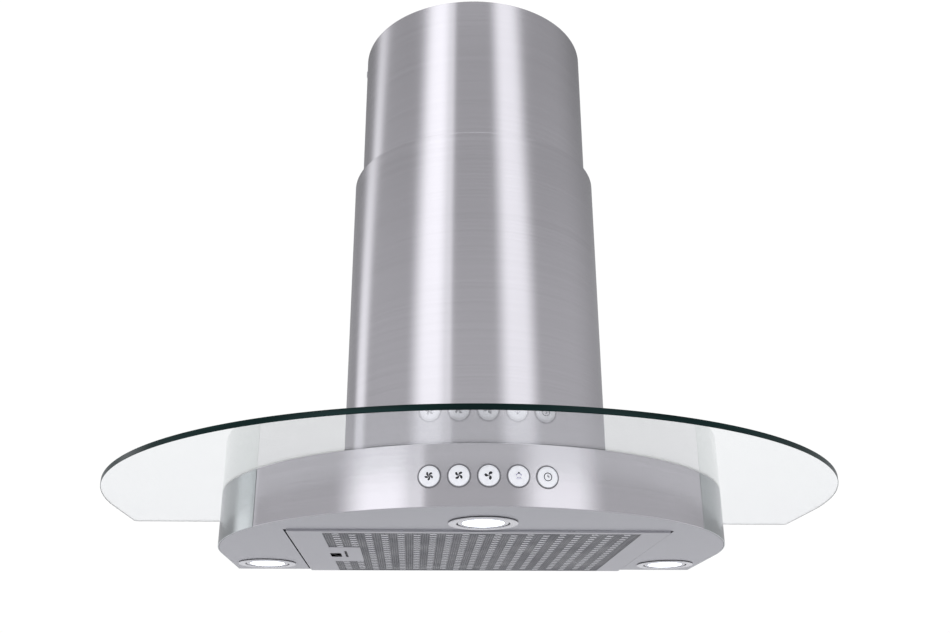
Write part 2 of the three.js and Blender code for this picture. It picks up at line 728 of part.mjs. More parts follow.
/** Gland that the supply cable comes in through, on top of the terminal box. */
function cableInlet() {
  const floor = TERMINAL_BOX.z1 + GAP;
  const top = floor + GLAND.height;
  const profile = [
    [GLAND.bore, floor], [GLAND.flange, floor], [GLAND.flange, floor + 5],
    [GLAND.body, floor + 7], [GLAND.body, top], [GLAND.bore, top],
  ];
  const gland = piece("cable_inlet", turned(profile, COARSE), blackPlastic());
  gland.position.x = BOX_HALF + GAP + TERMINAL_BOX.depth / 2;
  return gland;
}

function capacitor() {
  const { radius, standoff, z0, z1 } = CAPACITOR;
  const can = piece("capacitor", rod(radius, z0, z1, COARSE), aluminium());
  can.position.x = -BOX_HALF - standoff;
  return can;
}

// --------------------------------------------------------------------- damper

/** Round duct collar, with a lip inside that the closed flaps rest on. */
function outletCollar() {
  const bottom = BOX_TOP + GAP;
  const inner = COLLAR_R - COLLAR_WALL;
  const flange = COLLAR_R + COLLAR_FLANGE;
  const lipTop = DAMPER_Z - FLAP_HALF_THICKNESS - GAP;
  const lipBottom = lipTop - COLLAR_LIP;
  const profile = [
    [inner, bottom], [flange, bottom], [flange, bottom + COLLAR_WALL],
    [COLLAR_R, bottom + COLLAR_WALL], [COLLAR_R, COLLAR_TOP], [inner, COLLAR_TOP],
    [inner, lipTop], [FLAP_R - 2, lipTop], [FLAP_R - 2, lipBottom], [inner, lipBottom],
  ];
  const seatHalf = KNUCKLE_R + 1.5;
  const pinSeat = block([-inner + 0.1, -seatHalf, lipBottom - 1.2], [inner - 0.1, seatHalf, DAMPER_Z + 4]);
  return piece("outlet_collar", cut(turned(profile, 32), pinSeat), galvanised());
}

function damperPin() {
  const half = COLLAR_R - COLLAR_WALL - GAP;
  const pin = piece("damper_pin", alongX(rod(PIN_R, -half, half, COARSE)), screwSteel());
  pin.position.z = DAMPER_Z;
  return pin;
}

/** Half-round flap on the +Y side of the pin, with two knuckles round it. */
function flapGeometry(knuckles) {
  const half = FLAP_HALF_THICKNESS;
  const clear = KNUCKLE_R + GAP;
  const disc = rod(FLAP_R, -half, half, 32);
  const otherSide = block([-FLAP_R * 1.1, -FLAP_R * 1.1, -CUT_MARGIN], [FLAP_R * 1.1, clear, CUT_MARGIN]);
  let flap = cut(disc, otherSide);
  for (const [from, to] of knuckles) {
    const knuckle = alongX(rod(KNUCKLE_R, from, to, COARSE));
    const tab = block([from, 0, -half], [to, clear + 1, half]);
    flap = join(flap, knuckle, tab);
  }
  return cut(flap, alongX(rod(PIN_R + GAP, -FLAP_R, FLAP_R, COARSE)));
}

function damperFlap(name, knuckles, turn) {
  const flap = piece(name, flapGeometry(knuckles), aluminium());
  flap.rotation.z = turn;
  flap.position.z = DAMPER_Z;
  return flap;
}

// --------------------------------------------------------------------- filter

/** Outer face of the cassette, with the finger slot of its latch. */
function filterFace() {
  const sheet = block([-FILTER_HALF, FILTER_FRONT, 0], [FILTER_HALF, FILTER_BACK, FACE_THICKNESS]);
  const slot = block(
    [PULL_SLOT.x0, LATCH_Y - PULL_SLOT.halfLength, -CUT_MARGIN],
    [PULL_SLOT.x1, LATCH_Y + PULL_SLOT.halfLength, CUT_MARGIN],
  );
  return piece("filter_face", cut(sheet, slot), filterSteel());
}

/** Rim of the cassette, with two lugs that hook over the body's right-hand edge. */
function filterFrame() {
  const bottom = FACE_THICKNESS + GAP;
  const ring = (inset) => [
    [-FILTER_HALF + inset, FILTER_FRONT + inset],
    [FILTER_HALF - inset, FILTER_BACK - inset],
  ];
  const span = (inset, z0, z1) => {
    const [low, high] = ring(inset);
    return block([...low, z0], [...high, z1]);
  };
  const rim = cut(
    span(0, bottom, FILTER_HEIGHT),
    span(SHEET, bottom - CUT_MARGIN, FILTER_HEIGHT - SHEET),
    span(RIM_WIDTH, bottom, FILTER_HEIGHT + CUT_MARGIN),
    block(
      [-FILTER_HALF - 1, LATCH_Y - BOLT.halfWidth - 0.5, BOLT.z0 - GAP],
      [-FILTER_HALF + 3, LATCH_Y + BOLT.halfWidth + 0.5, BOLT.z1 + GAP],
    ),
  );
  const lugBottom = BODY_BOTTOM + SHEET + 2 * GAP;
  const lugs = LUG_Y.map((y) => block(
    [FILTER_HALF - SHEET, y - LUG_HALF_LENGTH, lugBottom],
    [OPENING_HALF + LUG_OVERLAP, y + LUG_HALF_LENGTH, lugBottom + SHEET],
  ));
  return piece("filter_frame", join(rim, ...lugs), filterSteel());
}

/** Pad of expanded metal inside the cassette, cut away round the latch. */
function filterMesh() {
  const inset = SHEET + GAP;
  const pad = block(
    [-FILTER_HALF + inset, FILTER_FRONT + inset, FACE_THICKNESS + GAP],
    [FILTER_HALF - inset, FILTER_BACK - inset, FACE_THICKNESS + GAP + MESH_THICKNESS],
  );
  const latchBay = block(
    [-FILTER_HALF, LATCH_Y - LATCH_BAY.halfLength, 0],
    [PULL_SLOT.x1 + LATCH_BAY.beyondSlot, LATCH_Y + LATCH_BAY.halfLength, FILTER_HEIGHT],
  );
  return piece("filter_mesh", cut(pad, latchBay), aluminium());
}

/** Sprung latch: a bolt over the body's edge, and a pocket that a fingertip pulls. */
function latchSlide() {
  const halfPocket = PULL_SLOT.halfLength + POCKET.clearance;
  const pocketLeft = PULL_SLOT.x0 - 1.5;
  const pocketRight = PULL_SLOT.x1 + 0.5;
  const outerLeft = pocketLeft - POCKET.wall;
  const outerRight = pocketRight + POCKET.wall;
  const top = FILTER_HEIGHT - SHEET - GAP - 0.2;
  const span = (x0, halfLength, z0, x1, z1) =>
    block([x0, LATCH_Y - halfLength, z0], [x1, LATCH_Y + halfLength, z1]);
  const bolt = span(-OPENING_HALF - BOLT.overlap, BOLT.halfWidth, BOLT.z0, pocketLeft - 0.5, BOLT.z1);
  const riser = span(outerLeft, halfPocket, BOLT.z0, pocketLeft, top);
  const roof = span(outerLeft, halfPocket, top - POCKET.roof, outerRight, top);
  const pull = span(pocketRight, halfPocket, FACE_THICKNESS + 0.5, outerRight, top);
  return piece("latch_slide", join(bolt, riser, roof, pull), polishedSteel());
}

// ------------------------------------------------------------------- assembly

const ceilingFrame = groupAt(
  0, AXIS_Y, 0,
  ceilingPlate(),
  upperChimney(),
  chimneyScrew("right", 0),
  chimneyScrew("left", Math.PI),
  ...inEachCorner((corner) => upperRail(`upper_rail_${corner}`)),
);

const fan = groupAt(0, FAN_Y - AXIS_Y, FAN_Z, scrollHousing(), impeller(), motor(), motorBracket());

const blower = groupAt(
  0, AXIS_Y, 0,
  motorBox(),
  fan,
  terminalBox(),
  cableInlet(),
  capacitor(),
  outletCollar(),
  damperPin(),
  damperFlap("damper_flap_rear", REAR_KNUCKLES, 0),
  damperFlap("damper_flap_front", FRONT_KNUCKLES, Math.PI),
);

const hangers = groupAt(
  0, AXIS_Y, 0,
  chimneyBaseRing(),
  lowerChimney(),
  ...inEachCorner(
    (corner) => lowerRail(`lower_rail_${corner}`),
    (corner) => heightScrew(`height_screw_${corner}`),
  ),
);

const body = groupAt(
  0, 0, 0,
  glassCanopy(),
  glassGasket(),
  fascia(),
  sideWrap("right", 1),
  sideWrap("left", -1),
  backPanel(),
  topPanel(),
  bottomPanel(),
  switchCarrier(),
  switchBoard(),
  ...buttonNumbers.map(button),
  ...LAMPS.map(lamp),
  ledDriver(),
);

const filter = groupAt(0, 0, 0, filterFace(), filterFrame(), filterMesh(), latchSlide());

const rangeHood = new THREE.Group();
rangeHood.add(ceilingFrame, hangers, blower, body, filter);

export default rangeHood;
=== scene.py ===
"""Looks of the island range hood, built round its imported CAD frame.

Metres throughout, in the CAD's own frame: +Z up, the buttons face -Y.
"""
from math import atan2, ceil, copysign, cos, degrees, pi, radians, sin

import bmesh
import bpy
from mathutils import Matrix, Vector


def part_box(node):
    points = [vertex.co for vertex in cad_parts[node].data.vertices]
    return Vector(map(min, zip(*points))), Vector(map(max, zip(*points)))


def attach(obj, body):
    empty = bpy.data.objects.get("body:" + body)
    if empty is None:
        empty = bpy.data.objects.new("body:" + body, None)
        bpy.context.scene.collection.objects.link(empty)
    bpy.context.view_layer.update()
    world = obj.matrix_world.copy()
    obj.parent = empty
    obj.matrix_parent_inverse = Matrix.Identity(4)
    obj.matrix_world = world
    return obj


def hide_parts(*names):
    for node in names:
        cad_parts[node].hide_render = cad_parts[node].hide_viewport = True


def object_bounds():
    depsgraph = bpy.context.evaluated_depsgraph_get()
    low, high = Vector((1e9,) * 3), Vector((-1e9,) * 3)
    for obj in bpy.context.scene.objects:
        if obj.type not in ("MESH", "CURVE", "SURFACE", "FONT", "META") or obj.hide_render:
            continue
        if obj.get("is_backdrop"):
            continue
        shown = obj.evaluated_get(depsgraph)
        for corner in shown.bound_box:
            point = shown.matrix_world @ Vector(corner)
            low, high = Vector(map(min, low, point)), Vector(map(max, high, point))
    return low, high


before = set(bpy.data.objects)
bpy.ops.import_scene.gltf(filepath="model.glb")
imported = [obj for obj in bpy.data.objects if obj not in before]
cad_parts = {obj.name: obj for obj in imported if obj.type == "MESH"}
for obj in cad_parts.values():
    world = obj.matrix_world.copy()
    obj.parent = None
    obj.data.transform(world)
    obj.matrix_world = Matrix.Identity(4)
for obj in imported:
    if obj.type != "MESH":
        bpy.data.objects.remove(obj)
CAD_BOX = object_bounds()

MM = 0.001
SHEET = 1.2 * MM
EDGE = 0.3 * MM  # how far sharp edges are broken
SLIT = 0.6 * MM  # open joint down the back of a rolled tube
GLASS_HOLE_R = 140 * MM  # where the blower passes through the canopy
BUTTON_HOLE_R = 11.45 * MM  # in the fascia
LAMP_HOLE_R = 33 * MM  # in the underside
FILTER_OPENING = 211 * MM  # half width of the opening in the underside
THROAT = 85 * MM  # half width of the opening in the body's top
SIDE_ROW = 31 * MM  # height of a row of faces on the side walls


# ------------------------------------------------------------------ CAD sizes

def middle(node):
    low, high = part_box(node)
    return (low + high) / 2


def radius_of(node):
    low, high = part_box(node)
    return (high.x - low.x) / 2


BODY_LOW, BODY_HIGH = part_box("fascia")
BODY_HALF_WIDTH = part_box("side_wrap_right")[1].x
BODY_FRONT = BODY_LOW.y
BODY_CENTRE_Y = BODY_FRONT + BODY_HALF_WIDTH
GLASS_LOW, GLASS_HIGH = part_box("glass_canopy")
AXIS = Vector((0, middle("lower_chimney").y, 0))
BUTTONS = [f"button_{i}" for i in range(1, 6)]
LAMPS = ["front", "rear_left", "rear_right"]
CORNERS = ["back_right", "back_left", "front_left", "front_right"]


# --------------------------------------------------------------- camera, light

def make_camera():
    """Below and in front of the hood, a little to its left, looking up."""
    camera = bpy.data.cameras.new("camera")
    camera.sensor_width = 36
    camera.lens = 38.34
    camera.clip_start = 0.01
    pitch, yaw, roll = radians(21.65), radians(3.45), radians(-0.3)
    forward = Vector((sin(yaw) * cos(pitch), cos(yaw) * cos(pitch), sin(pitch)))
    level_right = Vector((cos(yaw), -sin(yaw), 0))
    level_up = level_right.cross(forward)
    right = level_right * cos(roll) + level_up * sin(roll)
    up = right.cross(forward)
    turn = Matrix((right, up, -forward)).transposed().to_4x4()
    holder = bpy.data.objects.new("camera", camera)
    holder.matrix_world = Matrix.Translation((-0.0707, -1.1259, -0.1859)) @ turn
    bpy.context.scene.collection.objects.link(holder)
    bpy.context.scene.camera = holder


# The studio that the steel and glass mirror: a plain room with soft lights on its walls. A light
# has a direction, in degrees from straight ahead of the hood and positive to its right, the
# half width of its bright middle, the width over which its edge fades, and a level.
SOFT_LIGHTS = {
    "key_box": (-42, 5, 18, 1.6),
    "thin_strip": (-26, 1, 3, 1.2),
    "fill_box": (35, 6, 16, 1.4),
    "far_left_strip": (-122, 3, 10, 1.3),
}
ROOM_FRONT = 0.6
ROOM_BACK = 0.4
OVERHEAD_LEVEL = 1.4
GROUND_LEVEL = 0.95


class Tree:
    """A small helper to write node trees."""

    def __init__(self, owner):
        owner.use_nodes = True
        self.tree = owner.node_tree
        self.tree.nodes.clear()

    def add(self, kind, values=None, **settings):
        node = self.tree.nodes.new(kind)
        for key, value in settings.items():
            setattr(node, key, value)
        for key, value in (values or {}).items():
            if isinstance(value, bpy.types.NodeSocket):
                self.tree.links.new(value, node.inputs[key])
            else:
                node.inputs[key].default_value = value
        return node

    def math(self, operation, a, b=0.0, clamp=False):
        node = self.add("ShaderNodeMath", {0: a, 1: b}, operation=operation, use_clamp=clamp)
        return node.outputs[0]

    def fit(self, value, from_low, from_high, to_low, to_high, smooth=False):
        values = {0: value, 1: from_low, 2: from_high, 3: to_low, 4: to_high}
        kind = "SMOOTHSTEP" if smooth else "LINEAR"
        return self.add("ShaderNodeMapRange", values, interpolation_type=kind).outputs[0]

    def ramp(self, value, stops, interpolation="EASE"):
        node = self.add("ShaderNodeValToRGB", {0: value})
        elements = node.color_ramp.elements
        node.color_ramp.interpolation = interpolation
        elements[0].position, elements[1].position = stops[0][0], stops[-1][0]
        for position, _ in stops[1:-1]:
            elements.new(position)
        for element, (_, colour) in zip(elements, stops):
            element.color = (*colour, 1)
        return node.outputs[0]

    def blend(self, factor, a, b, mode="MIX"):
        node = self.add("ShaderNodeMix", data_type="RGBA", blend_type=mode)
        for socket, value in zip((node.inputs[0], node.inputs[6], node.inputs[7]), (factor, a, b)):
            if isinstance(value, bpy.types.NodeSocket):
                self.tree.links.new(value, socket)
            else:
                socket.default_value = value
        return node.outputs[2]

    def link(self, source, target):
        self.tree.links.new(source, target)


def make_world():
    """A plain room with a few soft lights, seen only in reflections; seen straight, it is white.

    The walls darken towards the ceiling, the soft lights hardly at all.
    """
    world = bpy.data.worlds.new("studio")
    bpy.context.scene.world = world
    t = Tree(world)
    direction = t.add("ShaderNodeSeparateXYZ", {0: t.add("ShaderNodeTexCoord").outputs["Generated"]})
    x, y, z = direction.outputs
    angle = t.math("ARCTAN2", x, t.math("MULTIPLY", y, -1.0))
    turn = t.math("MULTIPLY", angle, 180 / pi)
    walls = t.fit(t.math("ABSOLUTE", turn), 90, 150, ROOM_FRONT, ROOM_BACK, smooth=True)
    for azimuth, half_width, fade, light in SOFT_LIGHTS.values():
        away = t.math("ABSOLUTE", t.math("SUBTRACT", turn, azimuth))
        lit = t.fit(away, half_width + fade, half_width, 0.0, 1.0, smooth=True)
        walls = t.math("ADD", walls, t.math("MULTIPLY", lit, t.math("SUBTRACT", light, walls)))
    steeper = t.math("POWER", walls, t.fit(z, 0.38, 0.62, 1.0, 1.35))
    walls = t.math("MULTIPLY", steeper, t.fit(z, 0.38, 0.62, 1.0, 0.9))
    overhead = t.fit(z, 0.82, 0.95, 0.0, 1.0, smooth=True)
    ground = t.fit(z, -0.02, -0.12, 0.0, 1.0, smooth=True)
    level = t.blend(overhead, walls, (OVERHEAD_LEVEL,) * 3 + (1,))
    level = t.blend(ground, level, (GROUND_LEVEL,) * 3 + (1,))
    tinted = t.blend(1.0, level, (0.985, 0.985, 1.02, 1), mode="MULTIPLY")
    studio = t.add("ShaderNodeBackground", {"Color": tinted})
    white = t.add("ShaderNodeBackground", {"Color": (1, 1, 1, 1), "Strength": 1.02})
    path = t.add("ShaderNodeLightPath")
    unmirrored = t.math("LESS_THAN", path.outputs["Glossy Depth"], 0.5)
    through_glass = t.math("MULTIPLY", path.outputs["Is Transmission Ray"], unmirrored)
    straight = t.math("MAXIMUM", path.outputs["Is Camera Ray"], through_glass)
    shader = t.add("ShaderNodeMixShader", {0: straight, 1: studio.outputs[0], 2: white.outputs[0]})
    t.add("ShaderNodeOutputWorld", {"Surface": shader.outputs[0]})


def make_floor():
    bm = bmesh.new()
    bmesh.ops.create_circle(bm, cap_ends=True, segments=96, radius=5)
    mesh = bpy.data.meshes.new("floor")
    bm.to_mesh(mesh)
    bm.free()
    floor = bpy.data.objects.new("floor", mesh)
    floor.location = (0, 0, -1.6)
    bpy.context.scene.collection.objects.link(floor)
    material = bpy.data.materials.new("floor")
    t = Tree(material)
    noise = t.add("ShaderNodeTexNoise", {"Scale": 3.0, "Detail": 4.0})
    colour = t.ramp(noise.outputs["Fac"], [(0.3, (0.80, 0.80, 0.81)), (0.7, (0.84, 0.84, 0.845))])
    shader = t.add("ShaderNodeBsdfPrincipled", {"Base Color": colour, "Roughness": 0.7})
    t.add("ShaderNodeOutputMaterial", {"Surface": shader.outputs[0]})
    mesh.materials.append(material)
    floor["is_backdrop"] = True


# ------------------------------------------------------------------ materials

def principled(name, values):
    """A material and its tree and shader, its even values set on the shader's own sockets."""
    material = bpy.data.materials.new(name)
    t = Tree(material)
    shader = t.add("ShaderNodeBsdfPrincipled", values)
    t.add("ShaderNodeOutputMaterial", {"Surface": shader.outputs[0]})
    return material, t, shader


def noise_along(t, scale, detail=3.0, roughness=0.6, seed=0.0):
    """Noise in object space, stretched by a different scale along each axis, about 0.5."""
    place = t.add("ShaderNodeTexCoord").outputs["Object"]
    mapped = t.add("ShaderNodeMapping", {"Vector": place, "Scale": scale, "Location": (seed,) * 3})
    values = {"Vector": mapped.outputs[0], "Scale": 1.0, "Detail": detail, "Roughness": roughness}
    return t.add("ShaderNodeTexNoise", values).outputs["Fac"]


def tinted_between(t, fac, colour, low, high, start=0.3, end=0.7):
    """The colour, scaled from low to high as fac runs from start to end."""
    stops = [(start, [c * low for c in colour]), (end, [min(c * high, 1) for c in colour])]
    return t.ramp(fac, stops, "LINEAR")


def brushed(name, colour, roughness, grain, stretch, anisotropy=0.9, contrast=1.0):
    """Brushed steel. grain is the noise scale per axis, fine across the brushing; stretch is
    the direction that highlights run in, square to the brushing."""
    values = {"Metallic": 1.0, "Anisotropic": anisotropy}
    material, t, shader = principled(name, values)
    hairlines = noise_along(t, grain, detail=2.0, roughness=0.5)
    streaks = noise_along(t, [g / 5 for g in grain], detail=2.0, seed=4.0)
    clouds = noise_along(t, (7, 7, 7), detail=2.0, seed=9.0)
    lines = t.math("ADD", t.math("MULTIPLY", hairlines, 0.6), t.math("MULTIPLY", streaks, 0.4))
    shade = t.math("ADD", t.math("MULTIPLY", lines, 0.85), t.math("MULTIPLY", clouds, 0.15))
    spread = 0.035 * contrast
    t.link(tinted_between(t, shade, colour, 1 - spread, 1 + spread), shader.inputs["Base Color"])
    t.link(t.fit(shade, 0.35, 0.65, roughness * 0.95, roughness * 1.05), shader.inputs["Roughness"])
    bump = t.add("ShaderNodeBump", {"Strength": 0.02, "Distance": 0.02 * MM, "Height": lines})
    t.link(bump.outputs[0], shader.inputs["Normal"])
    direction = t.add("ShaderNodeCombineXYZ", dict(enumerate(stretch)))
    t.link(direction.outputs[0], shader.inputs["Tangent"])
    return material


def polished(name, colour, roughness):
    """Steel polished almost to a mirror, with faint haze and wipe marks."""
    material, t, shader = principled(name, {"Metallic": 1.0})
    haze = noise_along(t, (18, 18, 40), detail=4.0)
    swirl = noise_along(t, (300, 300, 900), detail=2.0, seed=3.0)
    t.link(tinted_between(t, haze, colour, 0.97, 1.03), shader.inputs["Base Color"])
    t.link(t.fit(haze, 0.3, 0.7, roughness * 0.75, roughness * 1.3), shader.inputs["Roughness"])
    bump = t.add("ShaderNodeBump", {"Strength": 0.1, "Distance": 0.02 * MM, "Height": swirl})
    t.link(bump.outputs[0], shader.inputs["Normal"])
    return material


def galvanised():
    """Zinc-coated sheet with the coating's crystals."""
    material, t, shader = principled("galvanised", {"Metallic": 0.9})
    place = t.add("ShaderNodeTexCoord").outputs["Object"]
    warp = t.add("ShaderNodeTexNoise", {"Vector": place, "Scale": 60.0, "Detail": 2.0})
    bent = t.add("ShaderNodeVectorMath", {0: warp.outputs["Color"], 1: (0.006,) * 3}, operation="MULTIPLY")
    moved = t.add("ShaderNodeVectorMath", {0: place, 1: bent.outputs[0]}, operation="ADD")
    crystals = t.add("ShaderNodeTexVoronoi", {"Vector": moved.outputs[0], "Scale": 95.0})
    tone = t.add("ShaderNodeSeparateXYZ", {0: crystals.outputs["Color"]}).outputs[0]
    t.link(tinted_between(t, tone, (0.62, 0.64, 0.66), 0.84, 1.12, 0.0, 1.0), shader.inputs["Base Color"])
    t.link(t.fit(tone, 0, 1, 0.34, 0.52), shader.inputs["Roughness"])
    bump = t.add("ShaderNodeBump", {"Strength": 0.15, "Distance": 0.05 * MM, "Height": tone})
    t.link(bump.outputs[0], shader.inputs["Normal"])
    return material


def socket_name(key):
    return key.replace("_", " ").title().replace("Ior", "IOR")


def grained(name, colour, roughness, metallic=0.0, grain=1500.0, depth=0.03 * MM, spread=0.06, **even):
    """Moulded plastic, rubber, cast metal: a fine even grain and a little mottling."""
    values = {"Metallic": metallic, **{socket_name(key): v for key, v in even.items()}}
    material, t, shader = principled(name, values)
    fine = noise_along(t, (grain,) * 3, detail=2.0)
    broad = noise_along(t, (25, 25, 25), detail=4.0, seed=2.0)
    t.link(tinted_between(t, broad, colour, 1 - spread, 1 + spread), shader.inputs["Base Color"])
    t.link(t.fit(broad, 0.3, 0.7, roughness * 0.88, roughness * 1.12), shader.inputs["Roughness"])
    bump = t.add("ShaderNodeBump", {"Strength": 0.4, "Distance": depth, "Height": fine})
    t.link(bump.outputs[0], shader.inputs["Normal"])
    return material


def clear_glass():
    """Tempered glass seen through its faces, with the faintest smears."""
    values = {"Transmission Weight": 1.0, "IOR": 1.7}
    material, t, shader = principled("canopy_glass", values)
    smears = noise_along(t, (6, 6, 6), detail=5.0, roughness=0.7)
    t.link(tinted_between(t, smears, (0.915, 0.935, 0.93), 0.99, 1.01), shader.inputs["Base Color"])
    t.link(t.fit(smears, 0.5, 0.8, 0.0, 0.03), shader.inputs["Roughness"])
    return material


def glass_edge():
    """The polished edge, where light has crossed a lot of glass: dark bottle green."""
    values = {"IOR": 1.4, "Specular IOR Level": 0.15}
    material, t, shader = principled("canopy_glass_edge", values)
    depth = noise_along(t, (9, 9, 200), detail=3.0)
    t.link(tinted_between(t, depth, (0.003, 0.018, 0.017), 0.7, 1.5), shader.inputs["Base Color"])
    t.link(t.fit(depth, 0.3, 0.7, 0.08, 0.2), shader.inputs["Roughness"])
    return material


def lamp_glow(centre, lens_radius):
    """Lit lens: white over the lamp, a touch cooler towards its rim."""
    material, t, shader = principled("lamp_lens", {"Roughness": 0.3, "Emission Strength": 2.6})
    place = t.add("ShaderNodeTexCoord").outputs["Object"]
    offset = t.add("ShaderNodeVectorMath", {0: place, 1: centre}, operation="SUBTRACT")
    spread = t.add("ShaderNodeVectorMath", {0: offset.outputs[0]}, operation="LENGTH").outputs["Value"]
    share = t.math("DIVIDE", spread, lens_radius)
    glow = t.ramp(share, [(0.0, (1, 1, 1)), (0.6, (0.96, 0.98, 1)), (1.0, (0.72, 0.77, 0.9))])
    t.link(glow, shader.inputs["Emission Color"])
    t.link(t.blend(0.1, (0.9, 0.92, 1, 1), glow), shader.inputs["Base Color"])
    return material


STEEL = (0.60, 0.588, 0.612)
UP, BACKWARDS = (0, 0, 1), (0, 1, 0)
FINE = 450  # noise cells a metre across the brushing
ALONG = 3  # and along it

brushed_round = brushed("brushed_steel_round", STEEL, 0.187, (ALONG, ALONG, FINE), UP, 1.0)
brushed_band = brushed("brushed_steel_band", STEEL, 0.145, (ALONG, ALONG, FINE), UP, 1.0, 1.0)
brushed_flat = brushed("brushed_steel_flat", (0.42, 0.422, 0.447), 0.3, (FINE, ALONG, ALONG), BACKWARDS, 0.5)
brushed_cover = brushed(
    "brushed_steel_filter", (0.415, 0.415, 0.44), 0.3, (FINE, ALONG, ALONG), BACKWARDS, 0.5
)
# the screen's metal is darkened far below bare steel: painted shade for the recessed filter field
mesh_steel_painted_shade = polished("expanded_mesh_painted_shade", (0.17, 0.173, 0.19), 0.34)
# the louvres are pressed from the screen's sheet but given a much lighter colour: painted highlight that
# makes them read bright
louvre_steel_painted_bright = polished("pressed_louvre_painted_bright", (0.62, 0.62, 0.645), 0.3)
# the side wraps' dark greenish tint is a painted reflection of the glass canopy above them, not the steel's
# own colour
side_steel_painted_reflection = brushed("polished_side_painted_reflection", (0.46, 0.49, 0.49), 0.14, (ALONG, ALONG, FINE), UP, 1.0, 0.5)
# the fold is the cover's own sheet given a much lighter colour: painted light that hides the dark line along
# its front face
fold_steel_painted_light = polished("folded_edge_painted_light", (0.74, 0.74, 0.77), 0.3)
trim_steel = polished("polished_trim", (0.62, 0.62, 0.64), 0.25)
screw_steel = polished("screw_steel", (0.72, 0.72, 0.74), 0.3)
zinc = galvanised()
plain_aluminium = grained("plain_aluminium", (0.72, 0.73, 0.74), 0.4, metallic=1.0, grain=700)
# the aluminium pad is darkened to about half the plain aluminium's colour: painted shade among its layers
# behind the screen
mesh_pad_painted_shade = grained(
    "mesh_pad_painted_shade", (0.34, 0.345, 0.36), 0.45, metallic=1.0, grain=260, depth=0.4 * MM, spread=0.15
)
cast_motor = grained("cast_motor", (0.11, 0.115, 0.12), 0.55, metallic=0.4, grain=500, depth=0.1 * MM)
black_plastic = grained("black_plastic", (0.018, 0.018, 0.02), 0.5, specular_ior_level=0.15)
sleeve_plastic = grained("sleeve_plastic", (0.27, 0.27, 0.285), 0.35)
# the caps' faint white emission is a painted glow that brightens them; there is no lamp behind the buttons
button_plastic = grained(
    "button_plastic", (0.95, 0.955, 0.98), 0.3, grain=2500, depth=0.01 * MM, spread=0.015,
    coat_weight=0.3, emission_color=(0.9, 0.92, 1, 1), emission_strength=0.22,
)
icon_ink = grained("icon_ink", (0.02, 0.02, 0.025), 0.5)
icon_ink_faint = grained("icon_ink_faint", (0.45, 0.43, 0.6), 0.5)
board_green = grained("circuit_board", (0.02, 0.12, 0.05), 0.35, spread=0.2)
rubber = grained("foam_rubber", (0.02, 0.02, 0.02), 0.85, grain=900, depth=0.1 * MM)
canopy_glass = clear_glass()
canopy_edge = glass_edge()


# ------------------------------------------------------------- mesh building

def arc(centre, radius, start, end, steps):
    """Points on a circle, angles in degrees."""
    turns = [radians(start + (end - start) * i / steps) for i in range(steps + 1)]
    return [(centre[0] + radius * cos(a), centre[1] + radius * sin(a)) for a in turns]


def rounded(points, radius, steps=3):
    """A closed outline with each corner turned into a small curve."""
    result = []
    for i, point in enumerate(points):
        here = Vector(point)
        before = Vector(points[i - 1]) - here
        after = Vector(points[(i + 1) % len(points)]) - here
        reach = min(radius, before.length * 0.45, after.length * 0.45)
        a = here + before.normalized() * reach
        b = here + after.normalized() * reach
        for k in range(steps + 1):
            s = k / steps
            result.append(tuple(a * (1 - s) ** 2 + here * 2 * s * (1 - s) + b * s ** 2))
    return result


FLAT = 20  # keeps broad flat faces flat up to their broken edges, degrees


def finish_piece(name, bm, materials, body, replaces=(), sharp=35):
    """Turns a bmesh into a piece that rides on a body and stands for CAD nodes."""
    bmesh.ops.recalc_face_normals(bm, faces=bm.faces)
    mesh = bpy.data.meshes.new(name)
    bm.to_mesh(mesh)
    bm.free()
    for material in materials:
        mesh.materials.append(material)
    mesh.polygons.foreach_set("use_smooth", [True] * len(mesh.polygons))
    mesh.set_sharp_from_angle(angle=radians(sharp))
    piece = bpy.data.objects.new(name, mesh)
    bpy.context.scene.collection.objects.link(piece)
    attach(piece, body)
    if replaces:
        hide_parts(*replaces)
    return piece


def lathe_into(bm, profile, segments=96, start=0.0, end=360.0, place=Matrix.Identity(4)):
    """Turns a closed (radius, height) profile about Z. A part turn gets flat ends."""
    whole = end - start >= 360
    columns = segments if whole else segments + 1
    rings = []
    for column in range(columns):
        angle = radians(start + (end - start) * column / segments)
        ring = []
        for radius, height in profile:
            if radius == 0 and column:
                ring.append(rings[0][len(ring)])
                continue
            ring.append(bm.verts.new(place @ Vector((radius * cos(angle), radius * sin(angle), height))))
        rings.append(ring)
    pairs = list(zip(rings, rings[1:]))
    if whole:
        pairs.append((rings[-1], rings[0]))
    size = len(profile)
    for near, far in pairs:
        for i in range(size):
            corners = [near[i], far[i], far[(i + 1) % size], near[(i + 1) % size]]
            corners = [v for k, v in enumerate(corners) if v not in corners[:k]]
            if len(corners) > 2:
                bm.faces.new(corners)
    if not whole:
        bm.faces.new(rings[0])
        bm.faces.new(rings[-1])


def lathe(name, profile, material, body, replaces=(), segments=96, place=Matrix.Identity(4)):
    bm = bmesh.new()
    lathe_into(bm, profile, segments, place=place)
    return finish_piece(name, bm, [material], body, replaces)


